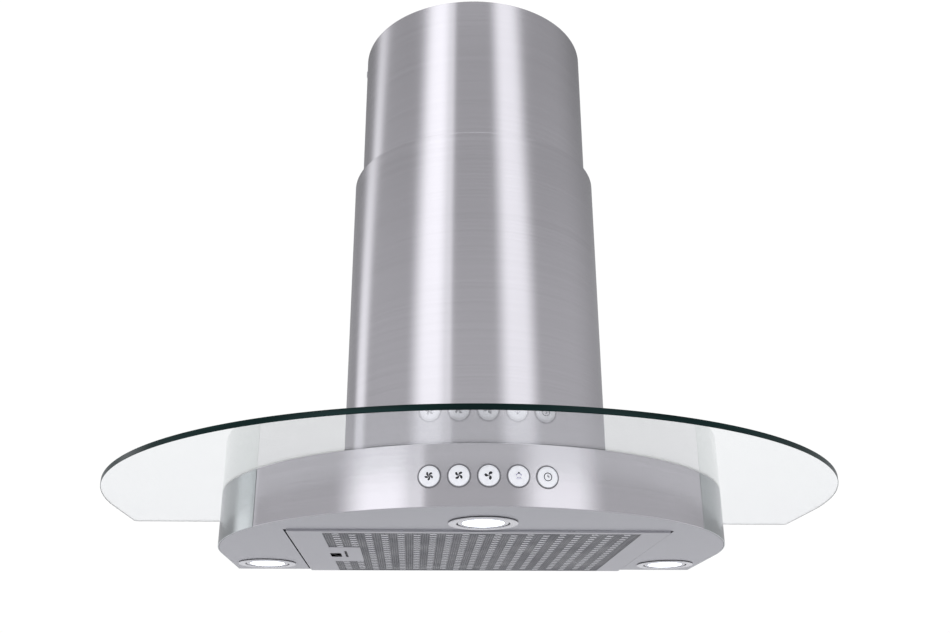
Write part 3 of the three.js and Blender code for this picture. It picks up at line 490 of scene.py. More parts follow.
def slab_into(bm, outer, holes, z0, z1, edge=EDGE):
    """A flat plate with holes and softened edges. Outlines are lists of (x, y)."""
    loops = []
    for outline in [outer, *holes]:
        verts = [bm.verts.new((x, y, z0)) for x, y in outline]
        loops.append([bm.edges.new((a, b)) for a, b in zip(verts, verts[1:] + verts[:1])])
    edges = [edge_ for loop in loops for edge_ in loop]
    made = bmesh.ops.triangle_fill(bm, use_beauty=True, use_dissolve=False, edges=edges)
    faces = [g for g in made["geom"] if isinstance(g, bmesh.types.BMFace)]
    raised = bmesh.ops.extrude_face_region(bm, geom=faces, use_keep_orig=True)["geom"]
    tops = [g for g in raised if isinstance(g, bmesh.types.BMVert)]
    bmesh.ops.translate(bm, verts=tops, vec=(0, 0, z1 - z0))
    if edge:
        new_faces = set(faces) | {f for v in tops for f in v.link_faces}
        bmesh.ops.recalc_face_normals(bm, faces=list(new_faces))
        rims = [
            e for e in {e for f in new_faces for e in f.edges}
            if len(e.link_faces) == 2 and abs(e.verts[0].co.z - e.verts[1].co.z) < 1e-7
            and abs(e.calc_face_angle(0)) > radians(60)
        ]
        bmesh.ops.bevel(bm, geom=rims, offset=edge, segments=2, profile=0.5, affect="EDGES")


def slab(name, outer, holes, z0, z1, material, body, replaces=(), edge=EDGE):
    bm = bmesh.new()
    slab_into(bm, outer, holes, z0, z1, edge)
    return finish_piece(name, bm, [material], body, replaces, sharp=FLAT)


def block_into(bm, low, high, edge=EDGE, place=Matrix.Identity(4)):
    """A block with broken edges, for brackets and boxes."""
    low, high = Vector(low), Vector(high)
    made = bmesh.ops.create_cube(bm, size=1.0)
    size = Matrix.Diagonal((*(high - low), 1))
    bmesh.ops.transform(bm, matrix=Matrix.Translation((low + high) / 2) @ size, verts=made["verts"])
    edges = list({e for v in made["verts"] for e in v.link_edges})
    bevelled = bmesh.ops.bevel(bm, geom=edges, offset=edge, segments=2, profile=0.5, affect="EDGES")
    verts = list({v for f in bevelled["faces"] for v in f.verts})
    bmesh.ops.transform(bm, matrix=place, verts=verts)


def circle(x, y, radius, steps=64):
    return arc((x, y), radius, 0, 360 * (steps - 1) / steps, steps - 1)


def d_outline(half_width, front, back, corner, steps=120):
    """Half round in front, straight sides, flat back with rounded corners."""
    centre_y = front + half_width
    curve = arc((0, centre_y), half_width, 180, 360, steps)
    left = arc((-half_width + corner, back - corner), corner, 90, 180, 8)
    right = arc((half_width - corner, back - corner), corner, 0, 90, 8)
    return curve + right + left


def along_outline(s, depth):
    """A point of the body's wall: s along it from the middle of the front, depth into it."""
    quarter = BODY_HALF_WIDTH * pi / 2
    side = copysign(1, s)
    run = abs(s)
    if run > quarter:
        return Vector((side * (BODY_HALF_WIDTH - depth), BODY_CENTRE_Y + run - quarter, 0))
    angle = run / BODY_HALF_WIDTH
    reach = BODY_HALF_WIDTH - depth
    return Vector((side * reach * sin(angle), BODY_CENTRE_Y - reach * cos(angle), 0))


def wall_into(bm, s_levels, z_levels, holes=(), thickness=SHEET):
    """A sheet bent along the body's outline, with round holes (s, z, radius, half a cell)."""
    points = {}

    def vert(s, z, depth):
        key = (round(s, 7), round(z, 7), round(depth, 7))
        if key not in points:
            points[key] = bm.verts.new(along_outline(s, depth) + Vector((0, 0, z)))
        return points[key]

    def covered(s, z):
        return any(abs(s - hs) < cell and abs(z - hz) < cell for hs, hz, _, cell in holes)

    for depth in (0, thickness):
        for s0, s1 in zip(s_levels, s_levels[1:]):
            for z0, z1 in zip(z_levels, z_levels[1:]):
                if not covered((s0 + s1) / 2, (z0 + z1) / 2):
                    bm.faces.new([vert(s, z, depth) for s, z in ((s0, z0), (s1, z0), (s1, z1), (s0, z1))])
    for hs, hz, radius, cell in holes:
        across = [s for s in s_levels if abs(s - hs) < cell + 1e-6]
        up = [z for z in z_levels if abs(z - hz) < cell + 1e-6]
        ring = [(s, up[0]) for s in across[:-1]] + [(across[-1], z) for z in up[:-1]]
        ring += [(s, up[-1]) for s in across[:0:-1]] + [(across[0], z) for z in up[:0:-1]]
        angles = [atan2(z - hz, s - hs) for s, z in ring]
        rim = [(hs + radius * cos(a), hz + radius * sin(a)) for a in angles]
        lip = [(hs + (radius + EDGE) * cos(a), hz + (radius + EDGE) * sin(a)) for a in angles]
        bands = [
            ([(*p, 0) for p in ring], [(*p, 0) for p in lip]),
            ([(*p, 0) for p in lip], [(*p, EDGE) for p in rim]),
            ([(*p, EDGE) for p in rim], [(*p, thickness) for p in rim]),
            ([(*p, thickness) for p in rim], [(*p, thickness) for p in ring]),
        ]
        for outer, inner in bands:
            for i in range(len(outer)):
                j = (i + 1) % len(outer)
                bm.faces.new([vert(*outer[i]), vert(*outer[j]), vert(*inner[j]), vert(*inner[i])])
    ends = [(s, z) for s in (s_levels[0], s_levels[-1]) for z in z_levels]
    for (s, z0), (same, z1) in zip(ends, ends[1:]):
        if s == same:
            bm.faces.new([vert(s, z0, 0), vert(s, z1, 0), vert(s, z1, thickness), vert(s, z0, thickness)])
    for z in (z_levels[0], z_levels[-1]):
        for s0, s1 in zip(s_levels, s_levels[1:]):
            bm.faces.new([vert(s0, z, 0), vert(s1, z, 0), vert(s1, z, thickness), vert(s0, z, thickness)])


def levels(start, end, step):
    count = max(1, ceil(abs(end - start) / step - 1e-9))
    return [start + (end - start) * i / count for i in range(count + 1)]


def soften(bm, offset=EDGE, angle=60):
    """Breaks every sharp edge of a closed mesh."""
    bmesh.ops.recalc_face_normals(bm, faces=bm.faces)
    shared = [e for e in bm.edges if len(e.link_faces) == 2]
    edges = [e for e in shared if abs(e.calc_face_angle(0)) > radians(angle)]
    bmesh.ops.bevel(
        bm, geom=edges, offset=offset, segments=2, profile=0.5, affect="EDGES", clamp_overlap=True
    )


# -------------------------------------------------------------------- chimney

def rolled_tube(name, node, body, inward_lip=0.0):
    """A chimney tube: sheet rolled round, its joint down the back over a backing strip."""
    low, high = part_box(node)
    outer = radius_of(node)
    inner = outer - SHEET
    section = [(inner, low.z), (outer, low.z), (outer, high.z), (inner, high.z)]
    if inward_lip:
        lip = outer - inward_lip
        section = section[:3] + [(lip, high.z), (lip, high.z - SHEET), (inner, high.z - SHEET)]
    gap = degrees(SLIT / outer) / 2
    bm = bmesh.new()
    place = Matrix.Translation(AXIS)
    lathe_into(bm, rounded(section, 1 * MM), 240, 90 + gap, 450 - gap, place)
    tube = finish_piece(name, bm, [brushed_round], body, [node])
    bm = bmesh.new()
    strip = [(inner - 1.1 * MM, low.z + 4 * MM), (inner - 0.1 * MM, low.z + 4 * MM)]
    strip += [(radius, high.z - 6 * MM) for radius, _ in reversed(strip)]
    lathe_into(bm, strip, 8, 86, 94, place)
    finish_piece(f"{name}_joint_strip", bm, [zinc], body)
    return tube


def make_chimney():
    lip_depth = radius_of("lower_chimney") - radius_of("upper_chimney") - 0.8 * MM
    rolled_tube("upper_tube", "upper_chimney", "ceiling_frame")
    rolled_tube("lower_tube", "lower_chimney", "lower_chimney", lip_depth)


def screw_into(bm, head, axis, head_radius, length, tip_radius=None, height=2.1 * MM):
    """Pan-head screw with a cross recess, its head's underside at head."""
    tip = tip_radius or 2 * MM
    profile = [(0, -length), (tip * 0.8, -length), (tip, -length + 0.6 * MM), (tip, 0)]
    profile += [(head_radius, 0)]
    dome = arc((head_radius * 0.45, 0), head_radius * 0.55, 0, 90, 6)
    profile += [(r, min(z, height)) for r, z in dome[1:]]
    profile += [(0, profile[-1][1])]
    turn = Vector((0, 0, 1)).rotation_difference(Vector(axis)).to_matrix().to_4x4()
    place = Matrix.Translation(head) @ turn
    lathe_into(bm, profile, 28, place=place)
    top = profile[-1][1]
    arm, half = head_radius * 0.5, head_radius * 0.11
    for low, high in (((-arm, -half), (arm, half)), ((-half, -arm), (half, arm))):
        block_into(bm, (*low, top - 0.2 * MM), (*high, top + 0.03 * MM), 0.02 * MM, place)


def make_chimney_screws():
    for side, sign in (("right", 1), ("left", -1)):
        node = f"chimney_screw_{side}"
        bm = bmesh.new()
        start = Vector((sign * (radius_of("upper_chimney") + 0.3 * MM), AXIS.y, middle(node).z))
        screw_into(bm, start, (sign, 0, 0), 4.5 * MM, 9 * MM, height=0.7 * MM)
        finish_piece(f"tube_screw_{side}", bm, [screw_steel], "ceiling_frame", [node])


# --------------------------------------------------------------------- canopy

def make_glass():
    """The canopy: a D of clear glass with a dark polished edge and a hole for the blower."""
    bm = bmesh.new()
    outer = d_outline(GLASS_HIGH.x, GLASS_LOW.y, GLASS_HIGH.y, 5 * MM, 200)
    hole = circle(AXIS.x, AXIS.y, GLASS_HOLE_R, 120)
    slab_into(bm, outer, [hole], GLASS_LOW.z, GLASS_HIGH.z, 0.6 * MM)
    bm.normal_update()
    for face in bm.faces:
        face.material_index = 0 if abs(face.normal.z) > 0.95 else 1
    finish_piece(
        "glass_plate", bm, [canopy_glass, canopy_edge], "hood", ["glass_canopy"], sharp=FLAT
    )


# ----------------------------------------------------------------------- body

def button_turn(i):
    """Angle of button i's axis from straight ahead, in radians."""
    place = middle(BUTTONS[i])
    return atan2(place.x, BODY_CENTRE_Y - place.y)


def make_fascia():
    z_button = middle("button_1").z
    cell = 14 * MM
    holes = [(button_turn(i) * BODY_HALF_WIDTH, z_button, BUTTON_HOLE_R, cell) for i in range(5)]
    end = abs(atan2(BODY_HIGH.x, BODY_CENTRE_Y - BODY_HIGH.y)) * BODY_HALF_WIDTH
    s_levels = levels(-end, holes[0][0] - cell, 4 * MM)
    for s, _, _, _ in holes:
        s_levels += [s - cell + cell / 4 * k for k in range(9)]
    s_levels += levels(holes[-1][0] + cell, end, 4 * MM)
    s_levels = sorted({round(s, 7) for s in s_levels})
    cells = [z_button - cell + cell / 4 * k for k in range(9)]
    low, high = BODY_LOW.z, BODY_HIGH.z
    z_levels = sorted({round(z, 7) for z in [low, *cells, high] if low <= z <= high})
    bm = bmesh.new()
    wall_into(bm, s_levels, z_levels, [(round(s, 7), round(z, 7), r, c) for s, z, r, c in holes])
    soften(bm, 0.4 * MM, 75)
    finish_piece("front_fascia", bm, [brushed_band], "hood", ["fascia"], sharp=FLAT)


def make_side_wraps():
    for side, sign in (("right", 1), ("left", -1)):
        low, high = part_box(f"side_wrap_{side}")
        start = atan2(BODY_HIGH.x, BODY_CENTRE_Y - BODY_HIGH.y) * BODY_HALF_WIDTH + 1.1 * MM
        end = BODY_HALF_WIDTH * pi / 2 + high.y - BODY_CENTRE_Y
        bm = bmesh.new()
        s_levels = [sign * s for s in levels(start, end, 4 * MM)]
        wall_into(bm, sorted(s_levels), levels(low.z, high.z, SIDE_ROW))
        soften(bm, 0.4 * MM, 75)
        name = f"side_{side}"
        finish_piece(name, bm, [side_steel_painted_reflection], "hood", [f"side_wrap_{side}"], sharp=FLAT)


def make_bottom_panel():
    low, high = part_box("bottom_panel")
    opening_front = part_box("filter_face")[0].y - 0.25 * MM
    curve = arc((0, BODY_CENTRE_Y), high.x, 180, 360, 120)
    notch = [(high.x, high.y), (FILTER_OPENING, high.y), (FILTER_OPENING, opening_front)]
    notch += [(-x, y) for x, y in reversed(notch)]
    spots = [middle(f"trim_ring_{name}") for name in LAMPS]
    holes = [circle(spot.x, spot.y, LAMP_HOLE_R) for spot in spots]
    slab(
        "underside", curve + notch, holes, low.z, high.z, brushed_flat, "hood",
        ["bottom_panel"],
    )


def make_back_panel():
    """Flat back with two rows of pan-head screws."""
    low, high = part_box("back_panel")
    bm = bmesh.new()
    block_into(bm, low, high, 0.25 * MM)
    finish_piece("back_cover", bm, [brushed_round], "hood", ["back_panel"])
    bm = bmesh.new()
    for x in (-285, -190, -95, 95, 190, 285):
        for z in (low.z + 8 * MM, high.z - 8 * MM):
            screw_into(bm, Vector((x * MM, high.y - 0.4 * MM, z)), (0, 1, 0), 2.6 * MM, 4 * MM, 1.2 * MM)
    finish_piece("back_cover_screws", bm, [screw_steel], "hood")


def make_top_panel():
    low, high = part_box("top_panel")
    throat = rectangle(-THROAT, THROAT, AXIS.y - THROAT, AXIS.y + THROAT)
    outer = d_outline(high.x, low.y, high.y, 1 * MM, 120)
    slab(
        "body_top", outer, [rounded(throat, 4 * MM, 4)], low.z, high.z, brushed_flat, "hood",
        ["top_panel"],
    )


# -------------------------------------------------------------------- buttons

def button_place(i):
    """Frame at the body's centre with Z out through button i."""
    turn = Matrix.Rotation(button_turn(i), 4, "Z") @ Matrix.Rotation(radians(90), 4, "X")
    return Matrix.Translation((0, BODY_CENTRE_Y, middle(BUTTONS[i]).z)) @ turn


def ribbon_into(bm, points, widths, z0, z1):
    """A thin raised mark along a line of (x, y) points, with a width at each."""
    rows = []
    for i, (x, y) in enumerate(points):
        ahead = Vector(points[min(i + 1, len(points) - 1)])
        behind = Vector(points[max(i - 1, 0)])
        along = (ahead - behind).normalized()
        across = Vector((-along.y, along.x)) * widths[i] / 2
        left, right = Vector((x, y)) + across, Vector((x, y)) - across
        rows.append([bm.verts.new((*p, z)) for p, z in ((left, z0), (right, z0), (right, z1), (left, z1))])
    for near, far in zip(rows, rows[1:]):
        for i in range(4):
            bm.faces.new([near[i], far[i], far[(i + 1) % 4], near[(i + 1) % 4]])
    bm.faces.new(rows[0])
    bm.faces.new(rows[-1])


def fan_icon(bm, blades, z0, z1):
    """Fan with swept blades, each a curved drop that widens outwards."""
    reach, steps = 4.15 * MM, 8
    for blade in range(blades):
        base = 2 * pi * blade / blades + pi / 2
        line, widths = [], []
        for k in range(steps + 1):
            share = k / steps
            angle = base - 0.9 * share
            distance = reach * (0.08 + 0.92 * share)
            line.append((distance * cos(angle), distance * sin(angle)))
            widths.append((0.8 + 6.4 / blades * sin(pi * min(share, 0.9) ** 1.6)) * MM)
        ribbon_into(bm, line, widths, z0, z1)


def lamp_shade(bm, z0, z1):
    """The dark top of the lamp mark."""
    ribbon_into(bm, [(0, 3.9 * MM), (0, 2.2 * MM)], [0.9 * MM, 2.2 * MM], z0, z1)


def lamp_icon(bm, z0, z1):
    """Hooded lamp with three short rays."""
    ribbon_into(bm, arc((0, -0.4 * MM), 2.7 * MM, 15, 165, 8), [0.9 * MM] * 9, z0, z1)
    for turn in (-38, 0, 38):
        direction = Vector((sin(radians(turn)), -cos(radians(turn))))
        ray = [tuple(direction * d) for d in (1.3 * MM, 3.8 * MM)]
        ribbon_into(bm, ray, [0.7 * MM] * 2, z0, z1)


def timer_icon(bm, z0, z1):
    """Clock face with two hands."""
    ring = [(3.4 * MM, z0), (4.3 * MM, z0), (4.3 * MM, z1), (3.4 * MM, z1)]
    lathe_into(bm, ring, 48)
    ribbon_into(bm, [(0, 2.3 * MM), (0, -0.3 * MM)], [0.8 * MM] * 2, z0, z1)
    ribbon_into(bm, [(-0.4 * MM, 0), (1.9 * MM, 0)], [0.8 * MM] * 2, z0, z1)


def raised_mark(name, draw, i, face, ink):
    """One mark standing just proud of button i's face."""
    bm = bmesh.new()
    draw(bm, face - 0.05 * MM, face + 0.05 * MM)
    bmesh.ops.transform(bm, matrix=button_place(i), verts=bm.verts)
    finish_piece(name, bm, [ink], BUTTONS[i])


def make_buttons():
    icons = [
        lambda bm, z0, z1: fan_icon(bm, 5, z0, z1),
        lambda bm, z0, z1: fan_icon(bm, 4, z0, z1),
        lambda bm, z0, z1: fan_icon(bm, 3, z0, z1),
        lamp_icon,
        timer_icon,
    ]
    face = BODY_HALF_WIDTH + 1.5 * MM
    rim = 10.2 * MM
    for i, node in enumerate(BUTTONS):
        place = button_place(i)
        profile = [(0, face - 18 * MM), (rim, face - 18 * MM), (rim, face - 1.1 * MM)]
        profile += arc((rim - 0.9 * MM, face - 1.1 * MM), 0.9 * MM, 10, 80, 4)
        profile += [(rim - 1.3 * MM, face - 0.12 * MM), (rim - 1.9 * MM, face), (0, face)]
        lathe(f"button_cap_{i + 1}", profile, button_plastic, node, [node], 64, place)
        raised_mark(f"button_icon_{i + 1}", icons[i], i, face, icon_ink_faint if i == 3 else icon_ink)
    raised_mark("button_icon_4_shade", lamp_shade, 3, face, icon_ink)


def make_switch_carrier():
    """Black moulding behind the fascia, with a sleeve round each button."""
    low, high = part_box("switch_carrier")
    back = BODY_HALF_WIDTH - 15 * MM
    front = BODY_HALF_WIDTH - SHEET - 0.6 * MM
    section = [(back, low.z), (front, low.z), (front, high.z), (back, high.z)]
    bm = bmesh.new()
    place = Matrix.Translation((0, BODY_CENTRE_Y, 0))
    lathe_into(bm, rounded(section, 1 * MM), 40, 255, 285, place)
    finish_piece("button_carrier", bm, [black_plastic], "hood", ["switch_carrier"])
    bm = bmesh.new()
    for i in range(5):
        inner, outer, tip = 10.35 * MM, 11.35 * MM, BODY_HALF_WIDTH + 0.8 * MM
        sleeve = [(inner, back - 3 * MM), (outer, back - 3 * MM), (outer, tip - 0.3 * MM)]
        sleeve += [(outer - 0.25 * MM, tip), (inner + 0.2 * MM, tip), (inner, tip - 0.2 * MM)]
        lathe_into(bm, sleeve, 64, place=button_place(i))
    finish_piece("button_sleeves", bm, [sleeve_plastic], "hood")


# ---------------------------------------------------------------------- lamps

def lamp_ring(name, spot, bottom, panel):
    """Flange standing off the panel on a thin gasket, with a sleeve up through the panel. The gasket's black
    is partly painted shade for the gap under the flange.
    """
    lip, outer, inner = 28 * MM, 36.5 * MM, 30.9 * MM
    flange_top = bottom + 0.9 * MM
    ring = arc((lip + 0.4 * MM, bottom + 0.4 * MM), 0.4 * MM, 180, 270, 4)
    ring += arc((outer - 0.6 * MM, bottom + 0.6 * MM), 0.6 * MM, 270, 360, 5)
    ring += [(outer, flange_top), (32.4 * MM, flange_top), (32.4 * MM, 9 * MM), (inner, 9 * MM)]
    ring += [(inner, panel - 0.2 * MM), (lip, panel - 0.2 * MM)]
    lathe(f"lamp_ring_{name}", ring, trim_steel, "hood", [f"trim_ring_{name}"], 96, spot)
    # the black rubber seal is partly a real gasket and partly painted shade for the gap between flange and
    # panel
    seal = [(32.5 * MM, flange_top), (34.9 * MM, flange_top), (34.7 * MM, panel), (32.5 * MM, panel)]
    lathe(f"lamp_gasket_gap_shade_{name}", seal, rubber, "hood", (), 96, spot)


def make_lamp(name):
    """A spotlight: flange, a set-back rim inside it behind a dark gap, and a lit lens."""
    spot = Matrix.Translation((middle(f"trim_ring_{name}").x, middle(f"trim_ring_{name}").y, 0))
    panel = BODY_LOW.z
    lamp_ring(name, spot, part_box(f"trim_ring_{name}")[0].z, panel)
    lens, rim_edge, wall = 21.6 * MM, 26.8 * MM, 30.7 * MM
    rim = panel - 0.9 * MM
    shelf = panel + 3 * MM
    can_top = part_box(f"lamp_housing_{name}")[1].z
    can = [(lens + 0.5 * MM, rim + 0.2 * MM), (lens + 0.9 * MM, rim), (rim_edge - 0.5 * MM, rim)]
    can += [(rim_edge, rim + 0.5 * MM), (rim_edge, shelf), (wall, shelf), (wall, can_top - 14 * MM)]
    can += [(22 * MM, can_top), (0, can_top), (0, can_top - 2 * MM), (21 * MM, can_top - 2 * MM)]
    can += [(wall - 1.5 * MM, can_top - 15 * MM), (wall - 1.5 * MM, shelf + 1.2 * MM)]
    can += [(lens + 0.5 * MM, shelf + 1.2 * MM)]
    housing = f"lamp_housing_{name}"
    lathe(f"lamp_can_{name}", can, trim_steel, "hood", [housing], 72, spot)
    face = rim - 0.1 * MM
    profile = [(0, face - 0.3 * MM), (lens * 0.6, face - 0.2 * MM), (lens - 0.4 * MM, face)]
    profile += [(lens, face + 0.4 * MM), (lens, shelf), (0, shelf)]
    glow = lamp_glow((spot.translation.x, spot.translation.y, face), lens)
    lathe(f"lamp_glass_{name}", profile, glow, "hood", [f"lamp_lens_{name}"], 72, spot)


# --------------------------------------------------------------------- filter

LOUVRE_COLUMNS = 19
FIRST_COLUMN_X = -157 * MM
COLUMN_PITCH, ROW_PITCH = 17.8 * MM, 14.5 * MM
FIRST_ROW_FROM_FRONT = 18.5 * MM
LOUVRE_WIDTH, LOUVRE_DEPTH = 7.2 * MM, 5.6 * MM
CELL_WIDTH, CELL_DEPTH = COLUMN_PITCH / 3.5, ROW_PITCH / 2  # one diamond of the mesh
WINDOW_LEFT, WINDOW_RIGHT = -170.4 * MM, 177.5 * MM
TAB_RIGHT, TAB_FRONT, TAB_BACK = -134 * MM, 78 * MM, 188 * MM


def rectangle(x0, x1, y0, y1):
    return [(x0, y0), (x1, y0), (x1, y1), (x0, y1)]


def window_span():
    """Front and back edges of the cover's window."""
    low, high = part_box("filter_face")
    return low.y + 10 * MM, high.y - 2.5 * MM


def make_filter_cover():
    """Plain border sheet of the cassette: a window for the screen, a tab with the finger slot."""
    low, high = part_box("filter_face")
    front, back = window_span()
    window = [
        (WINDOW_LEFT, front), (WINDOW_RIGHT, front), (WINDOW_RIGHT, back), (WINDOW_LEFT, back),
        (WINDOW_LEFT, TAB_BACK), (TAB_RIGHT, TAB_BACK), (TAB_RIGHT, TAB_FRONT), (WINDOW_LEFT, TAB_FRONT),
    ]
    slot = rounded(rectangle(-172.3 * MM, -159.3 * MM, 123 * MM, 153 * MM), 2 * MM, 4)
    vent = rounded(rectangle(-154.4 * MM, -151.6 * MM, 106 * MM, 154 * MM), 1.2 * MM, 4)
    outer = rounded(rectangle(low.x, high.x, low.y, high.y), 2.5 * MM, 5)
    slab(
        "filter_cover", outer, [rounded(window, 1.2 * MM, 3), slot, vent], low.z, high.z,
        brushed_cover, "filter", ["filter_face"],
    )
    fold = 0.05 * MM
    outside = rounded(rectangle(low.x + fold, high.x - fold, low.y + fold, high.y - fold), 2.5 * MM, 5)
    wall = fold + 1.5 * MM
    inside = rounded(rectangle(low.x + wall, high.x - wall, low.y + wall, high.y - wall), 1.2 * MM, 5)
    slab(
        "filter_cover_fold", outside, [inside], high.z - 0.1 * MM, high.z + 1.8 * MM,
        fold_steel_painted_light, "filter", edge=0,
    )
    # a black sheet behind the vent: painted shade, so the opening reads dark
    vent_shade_sheet = rectangle(-155.8 * MM, -150.2 * MM, 104 * MM, 156 * MM)
    slab(
        "filter_vent_painted_shade", vent_shade_sheet, [], high.z + 0.05 * MM, high.z + 0.25 * MM,
        black_plastic, "filter", edge=0,
    )
    # narrow enough to clear the bottom panel's edge as the cassette swings
    hinge_side = rectangle(high.x - 0.5 * MM, high.x + 1.3 * MM, low.y + 1 * MM, high.y - 1 * MM)
    slab(
        "filter_hinge_seal", hinge_side, [], high.z + 0.05 * MM, high.z + 0.25 * MM,
        rubber, "filter", edge=0,
    )


def under_tab(x, y):
    return x < TAB_RIGHT and TAB_FRONT < y < TAB_BACK


def louvre_places():
    """Centres of the pressed louvres, every other column half a row further back."""
    front, back = window_span()
    for column in range(LOUVRE_COLUMNS):
        x = FIRST_COLUMN_X + column * COLUMN_PITCH
        y = front - 10 * MM + FIRST_ROW_FROM_FRONT + column % 2 * ROW_PITCH / 2
        while y < back - LOUVRE_DEPTH / 2:
            if not under_tab(x - LOUVRE_WIDTH, y):
                yield x, y
            y += ROW_PITCH


def make_filter_screen():
    """Expanded metal behind the window: staggered diamond openings, solid under the louvres."""
    margin = 4 * MM
    front, back = window_span()
    solid = list(louvre_places())
    bm = bmesh.new()
    verts = {}

    def vert(x, y):
        key = (round(x, 6), round(y, 6))
        if key not in verts:
            verts[key] = bm.verts.new((x, y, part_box("filter_face")[0].z + 0.5 * MM))
        return verts[key]

    def opening(x, y):
        near_louvre = any(
            abs(x - lx) < LOUVRE_WIDTH * 0.55 and abs(y - ly) < LOUVRE_DEPTH * 0.6 for lx, ly in solid
        )
        inside = WINDOW_LEFT - margin < x < WINDOW_RIGHT + margin and front - margin < y < back + 1 * MM
        return inside and not near_louvre and not under_tab(x, y)

    columns = ceil((WINDOW_RIGHT - WINDOW_LEFT + 2 * margin) / CELL_WIDTH)
    rows = ceil((back - front + margin) / CELL_DEPTH) * 2
    for row in range(rows - 1):
        for column in range(columns):
            x = WINDOW_LEFT - margin + (column + row % 2 / 2 + 0.5) * CELL_WIDTH
            y = front - margin + (row + 1) * CELL_DEPTH / 2
            across, deep = CELL_WIDTH / 2, CELL_DEPTH / 2
            corners = [(x - across, y), (x, y - deep), (x + across, y), (x, y + deep)]
            if under_tab(x + 3 * MM, y - 3 * MM) and under_tab(x + 3 * MM, y + 3 * MM):
                continue
            if not opening(x, y):
                bm.faces.new([vert(*corner) for corner in corners])
                continue
            rim = [(x + (cx - x) * 0.62, y + (cy - y) * 0.62) for cx, cy in corners]
            for i in range(4):
                j = (i + 1) % 4
                bm.faces.new([vert(*corners[i]), vert(*corners[j]), vert(*rim[j]), vert(*rim[i])])
    raised = bmesh.ops.extrude_face_region(bm, geom=bm.faces[:], use_keep_orig=True)["geom"]
    tops = [g for g in raised if isinstance(g, bmesh.types.BMVert)]
    bmesh.ops.translate(bm, verts=tops, vec=(0, 0, 0.5 * MM))
    finish_piece("filter_screen", bm, [mesh_steel_painted_shade], "filter")


def make_louvres():
    """Pressed louvres: small hoods standing down from the screen, each leaning backwards."""
    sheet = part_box("filter_face")[0].z + 0.55 * MM
    drop = 0.4 * MM
    bm = bmesh.new()
    for x, y in louvre_places():
        y0, y1 = y - LOUVRE_DEPTH / 2, y + LOUVRE_DEPTH / 2
        rise = 0.6 * MM
        section = [(y0, 0, 0), (y0 + rise, rise, drop), (y1 - 1 * MM, rise, drop * 0.9), (y1, 0, 0)]
        rows = []
        for row_y, inset, height in section:
            half = LOUVRE_WIDTH / 2 - inset
            rows.append([bm.verts.new((x + side * half, row_y, sheet - height)) for side in (-1, 1)])
        for near, far in zip(rows, rows[1:]):
            bm.faces.new([near[0], near[1], far[1], far[0]])
        for side in (0, 1):
            bm.faces.new([row[side] for row in rows])
        bm.faces.new([*rows[0], *reversed(rows[3])])
    finish_piece("filter_louvres", bm, [louvre_steel_painted_bright], "filter", sharp=FLAT)


def pleats_into(bm, x0, x1, y0, y1):
    """A stretch of the filter pad: one sheet folded up and down across its whole height."""
    low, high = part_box("filter_mesh")
    sheet = 0.8 * MM
    folds = 2 * round((x1 - x0) / (12 * MM))
    line = []
    for k in range(folds + 1):
        line.append((x0 + k * (x1 - x0) / folds, low.z if k % 2 else high.z - sheet))
    ends = []
    for y in (y0, y1):
        ends.append([[bm.verts.new((x, y, z + rise)) for x, z in line] for rise in (0, sheet)])
    (near_under, near_over), (far_under, far_over) = ends
    for k in range(folds):
        bm.faces.new([near_under[k], near_under[k + 1], far_under[k + 1], far_under[k]])
        bm.faces.new([near_over[k], near_over[k + 1], far_over[k + 1], far_over[k]])
        for under, over in ends:
            bm.faces.new([under[k], under[k + 1], over[k + 1], over[k]])
    for k in (0, -1):
        bm.faces.new([near_under[k], far_under[k], far_over[k], near_over[k]])


def make_filter_pad():
    """The aluminium pad behind the screen, in shallow pleats, with a bay left for the latch."""
    low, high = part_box("filter_mesh")
    latch_low, latch_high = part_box("latch_slide")
    clear = 1 * MM
    bm = bmesh.new()
    pleats_into(bm, low.x, high.x, low.y, latch_low.y - clear)
    pleats_into(bm, latch_high.x + 12 * MM, high.x, latch_low.y - clear, latch_high.y + clear)
    pleats_into(bm, low.x, high.x, latch_high.y + clear, high.y)
    finish_piece("filter_pad", bm, [mesh_pad_painted_shade], "filter", ["filter_mesh"])


# ----------------------------------------------------------------- inner parts

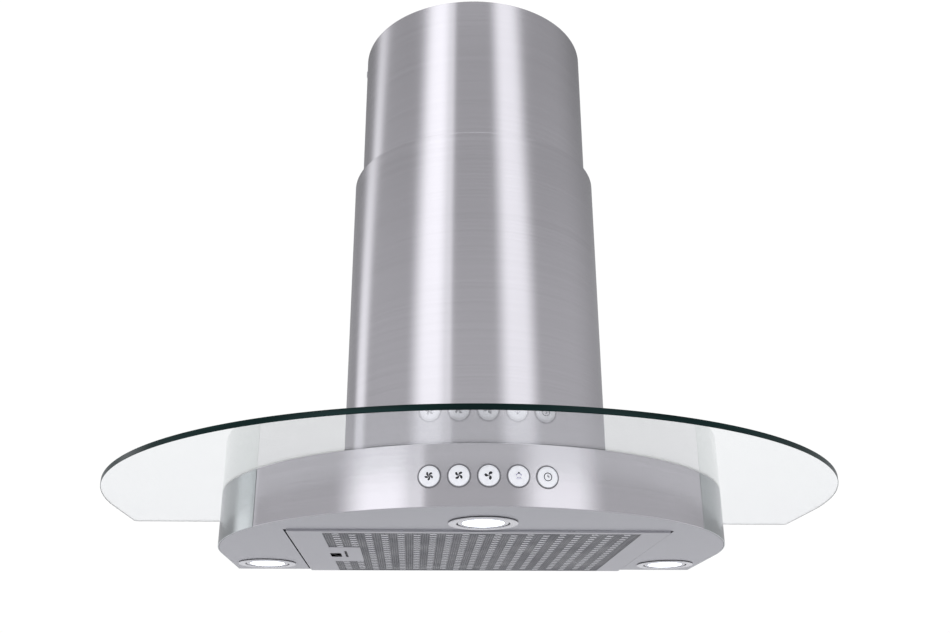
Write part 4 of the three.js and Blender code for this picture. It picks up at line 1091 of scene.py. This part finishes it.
def make_lidded_box(name, node):
    """A moulded case with a lid, a shadow line between them and cooling ribs on top."""
    low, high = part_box(node)
    outline = rounded(rectangle(low.x, high.x, low.y, high.y), 3 * MM, 4)
    groove = 0.8 * MM
    neck = rounded(rectangle(low.x + groove, high.x - groove, low.y + groove, high.y - groove), 3 * MM, 4)
    ribs = 1 * MM
    seam = high.z - 6 * MM
    bm = bmesh.new()
    slab_into(bm, outline, [], low.z, seam)
    slab_into(bm, neck, [], seam, seam + groove, 0)
    slab_into(bm, outline, [], seam + groove, high.z - ribs)
    for x in levels(low.x + 8 * MM, high.x - 8 * MM, 9 * MM):
        near = (x - 1 * MM, low.y + 6 * MM, high.z - ribs)
        far = (x + 1 * MM, high.y - 6 * MM, high.z)
        block_into(bm, near, far, 0.2 * MM)
    finish_piece(name, bm, [black_plastic], "hood", [node])


def make_inner_parts():
    make_lidded_box("terminal_case", "terminal_box")
    make_lidded_box("driver_case", "led_driver")


# ------------------------------------------------------- finishes of CAD nodes

def dress(names, material):
    """Gives CAD nodes a finish in place of their plain colour."""
    for name in names:
        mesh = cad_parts[name].data
        mesh.materials.clear()
        mesh.materials.append(material)


def dress_hidden_parts():
    dress([f"{level}_rail_{corner}" for level in ("upper", "lower") for corner in CORNERS], zinc)
    dress(["ceiling_plate", "chimney_base_ring", "motor_box", "motor_bracket", "outlet_collar"], zinc)
    dress([f"height_screw_{corner}" for corner in CORNERS], screw_steel)
    dress(["damper_pin"], screw_steel)
    dress(["scroll_housing", "cable_inlet", "latch_slide"], black_plastic)
    dress(["impeller", "capacitor", "damper_flap_rear", "damper_flap_front"], plain_aluminium)
    dress(["motor"], cast_motor)
    dress(["glass_gasket"], rubber)
    dress(["switch_board"], board_green)
    dress(["filter_frame"], brushed_cover)


# -------------------------------------------------------------------- assembly

bpy.context.scene.view_settings.view_transform = "Standard"
make_camera()
make_world()
make_floor()

make_chimney()
make_chimney_screws()
make_glass()
make_fascia()
make_side_wraps()
make_bottom_panel()
make_back_panel()
make_top_panel()
make_buttons()
make_switch_carrier()
for lamp_name in LAMPS:
    make_lamp(lamp_name)
make_filter_cover()
make_filter_screen()
make_louvres()
make_filter_pad()
make_inner_parts()
dress_hidden_parts()

boxes = {"cad": CAD_BOX, "visual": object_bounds()}
{key: [list(corner) for corner in box] for key, box in boxes.items()}
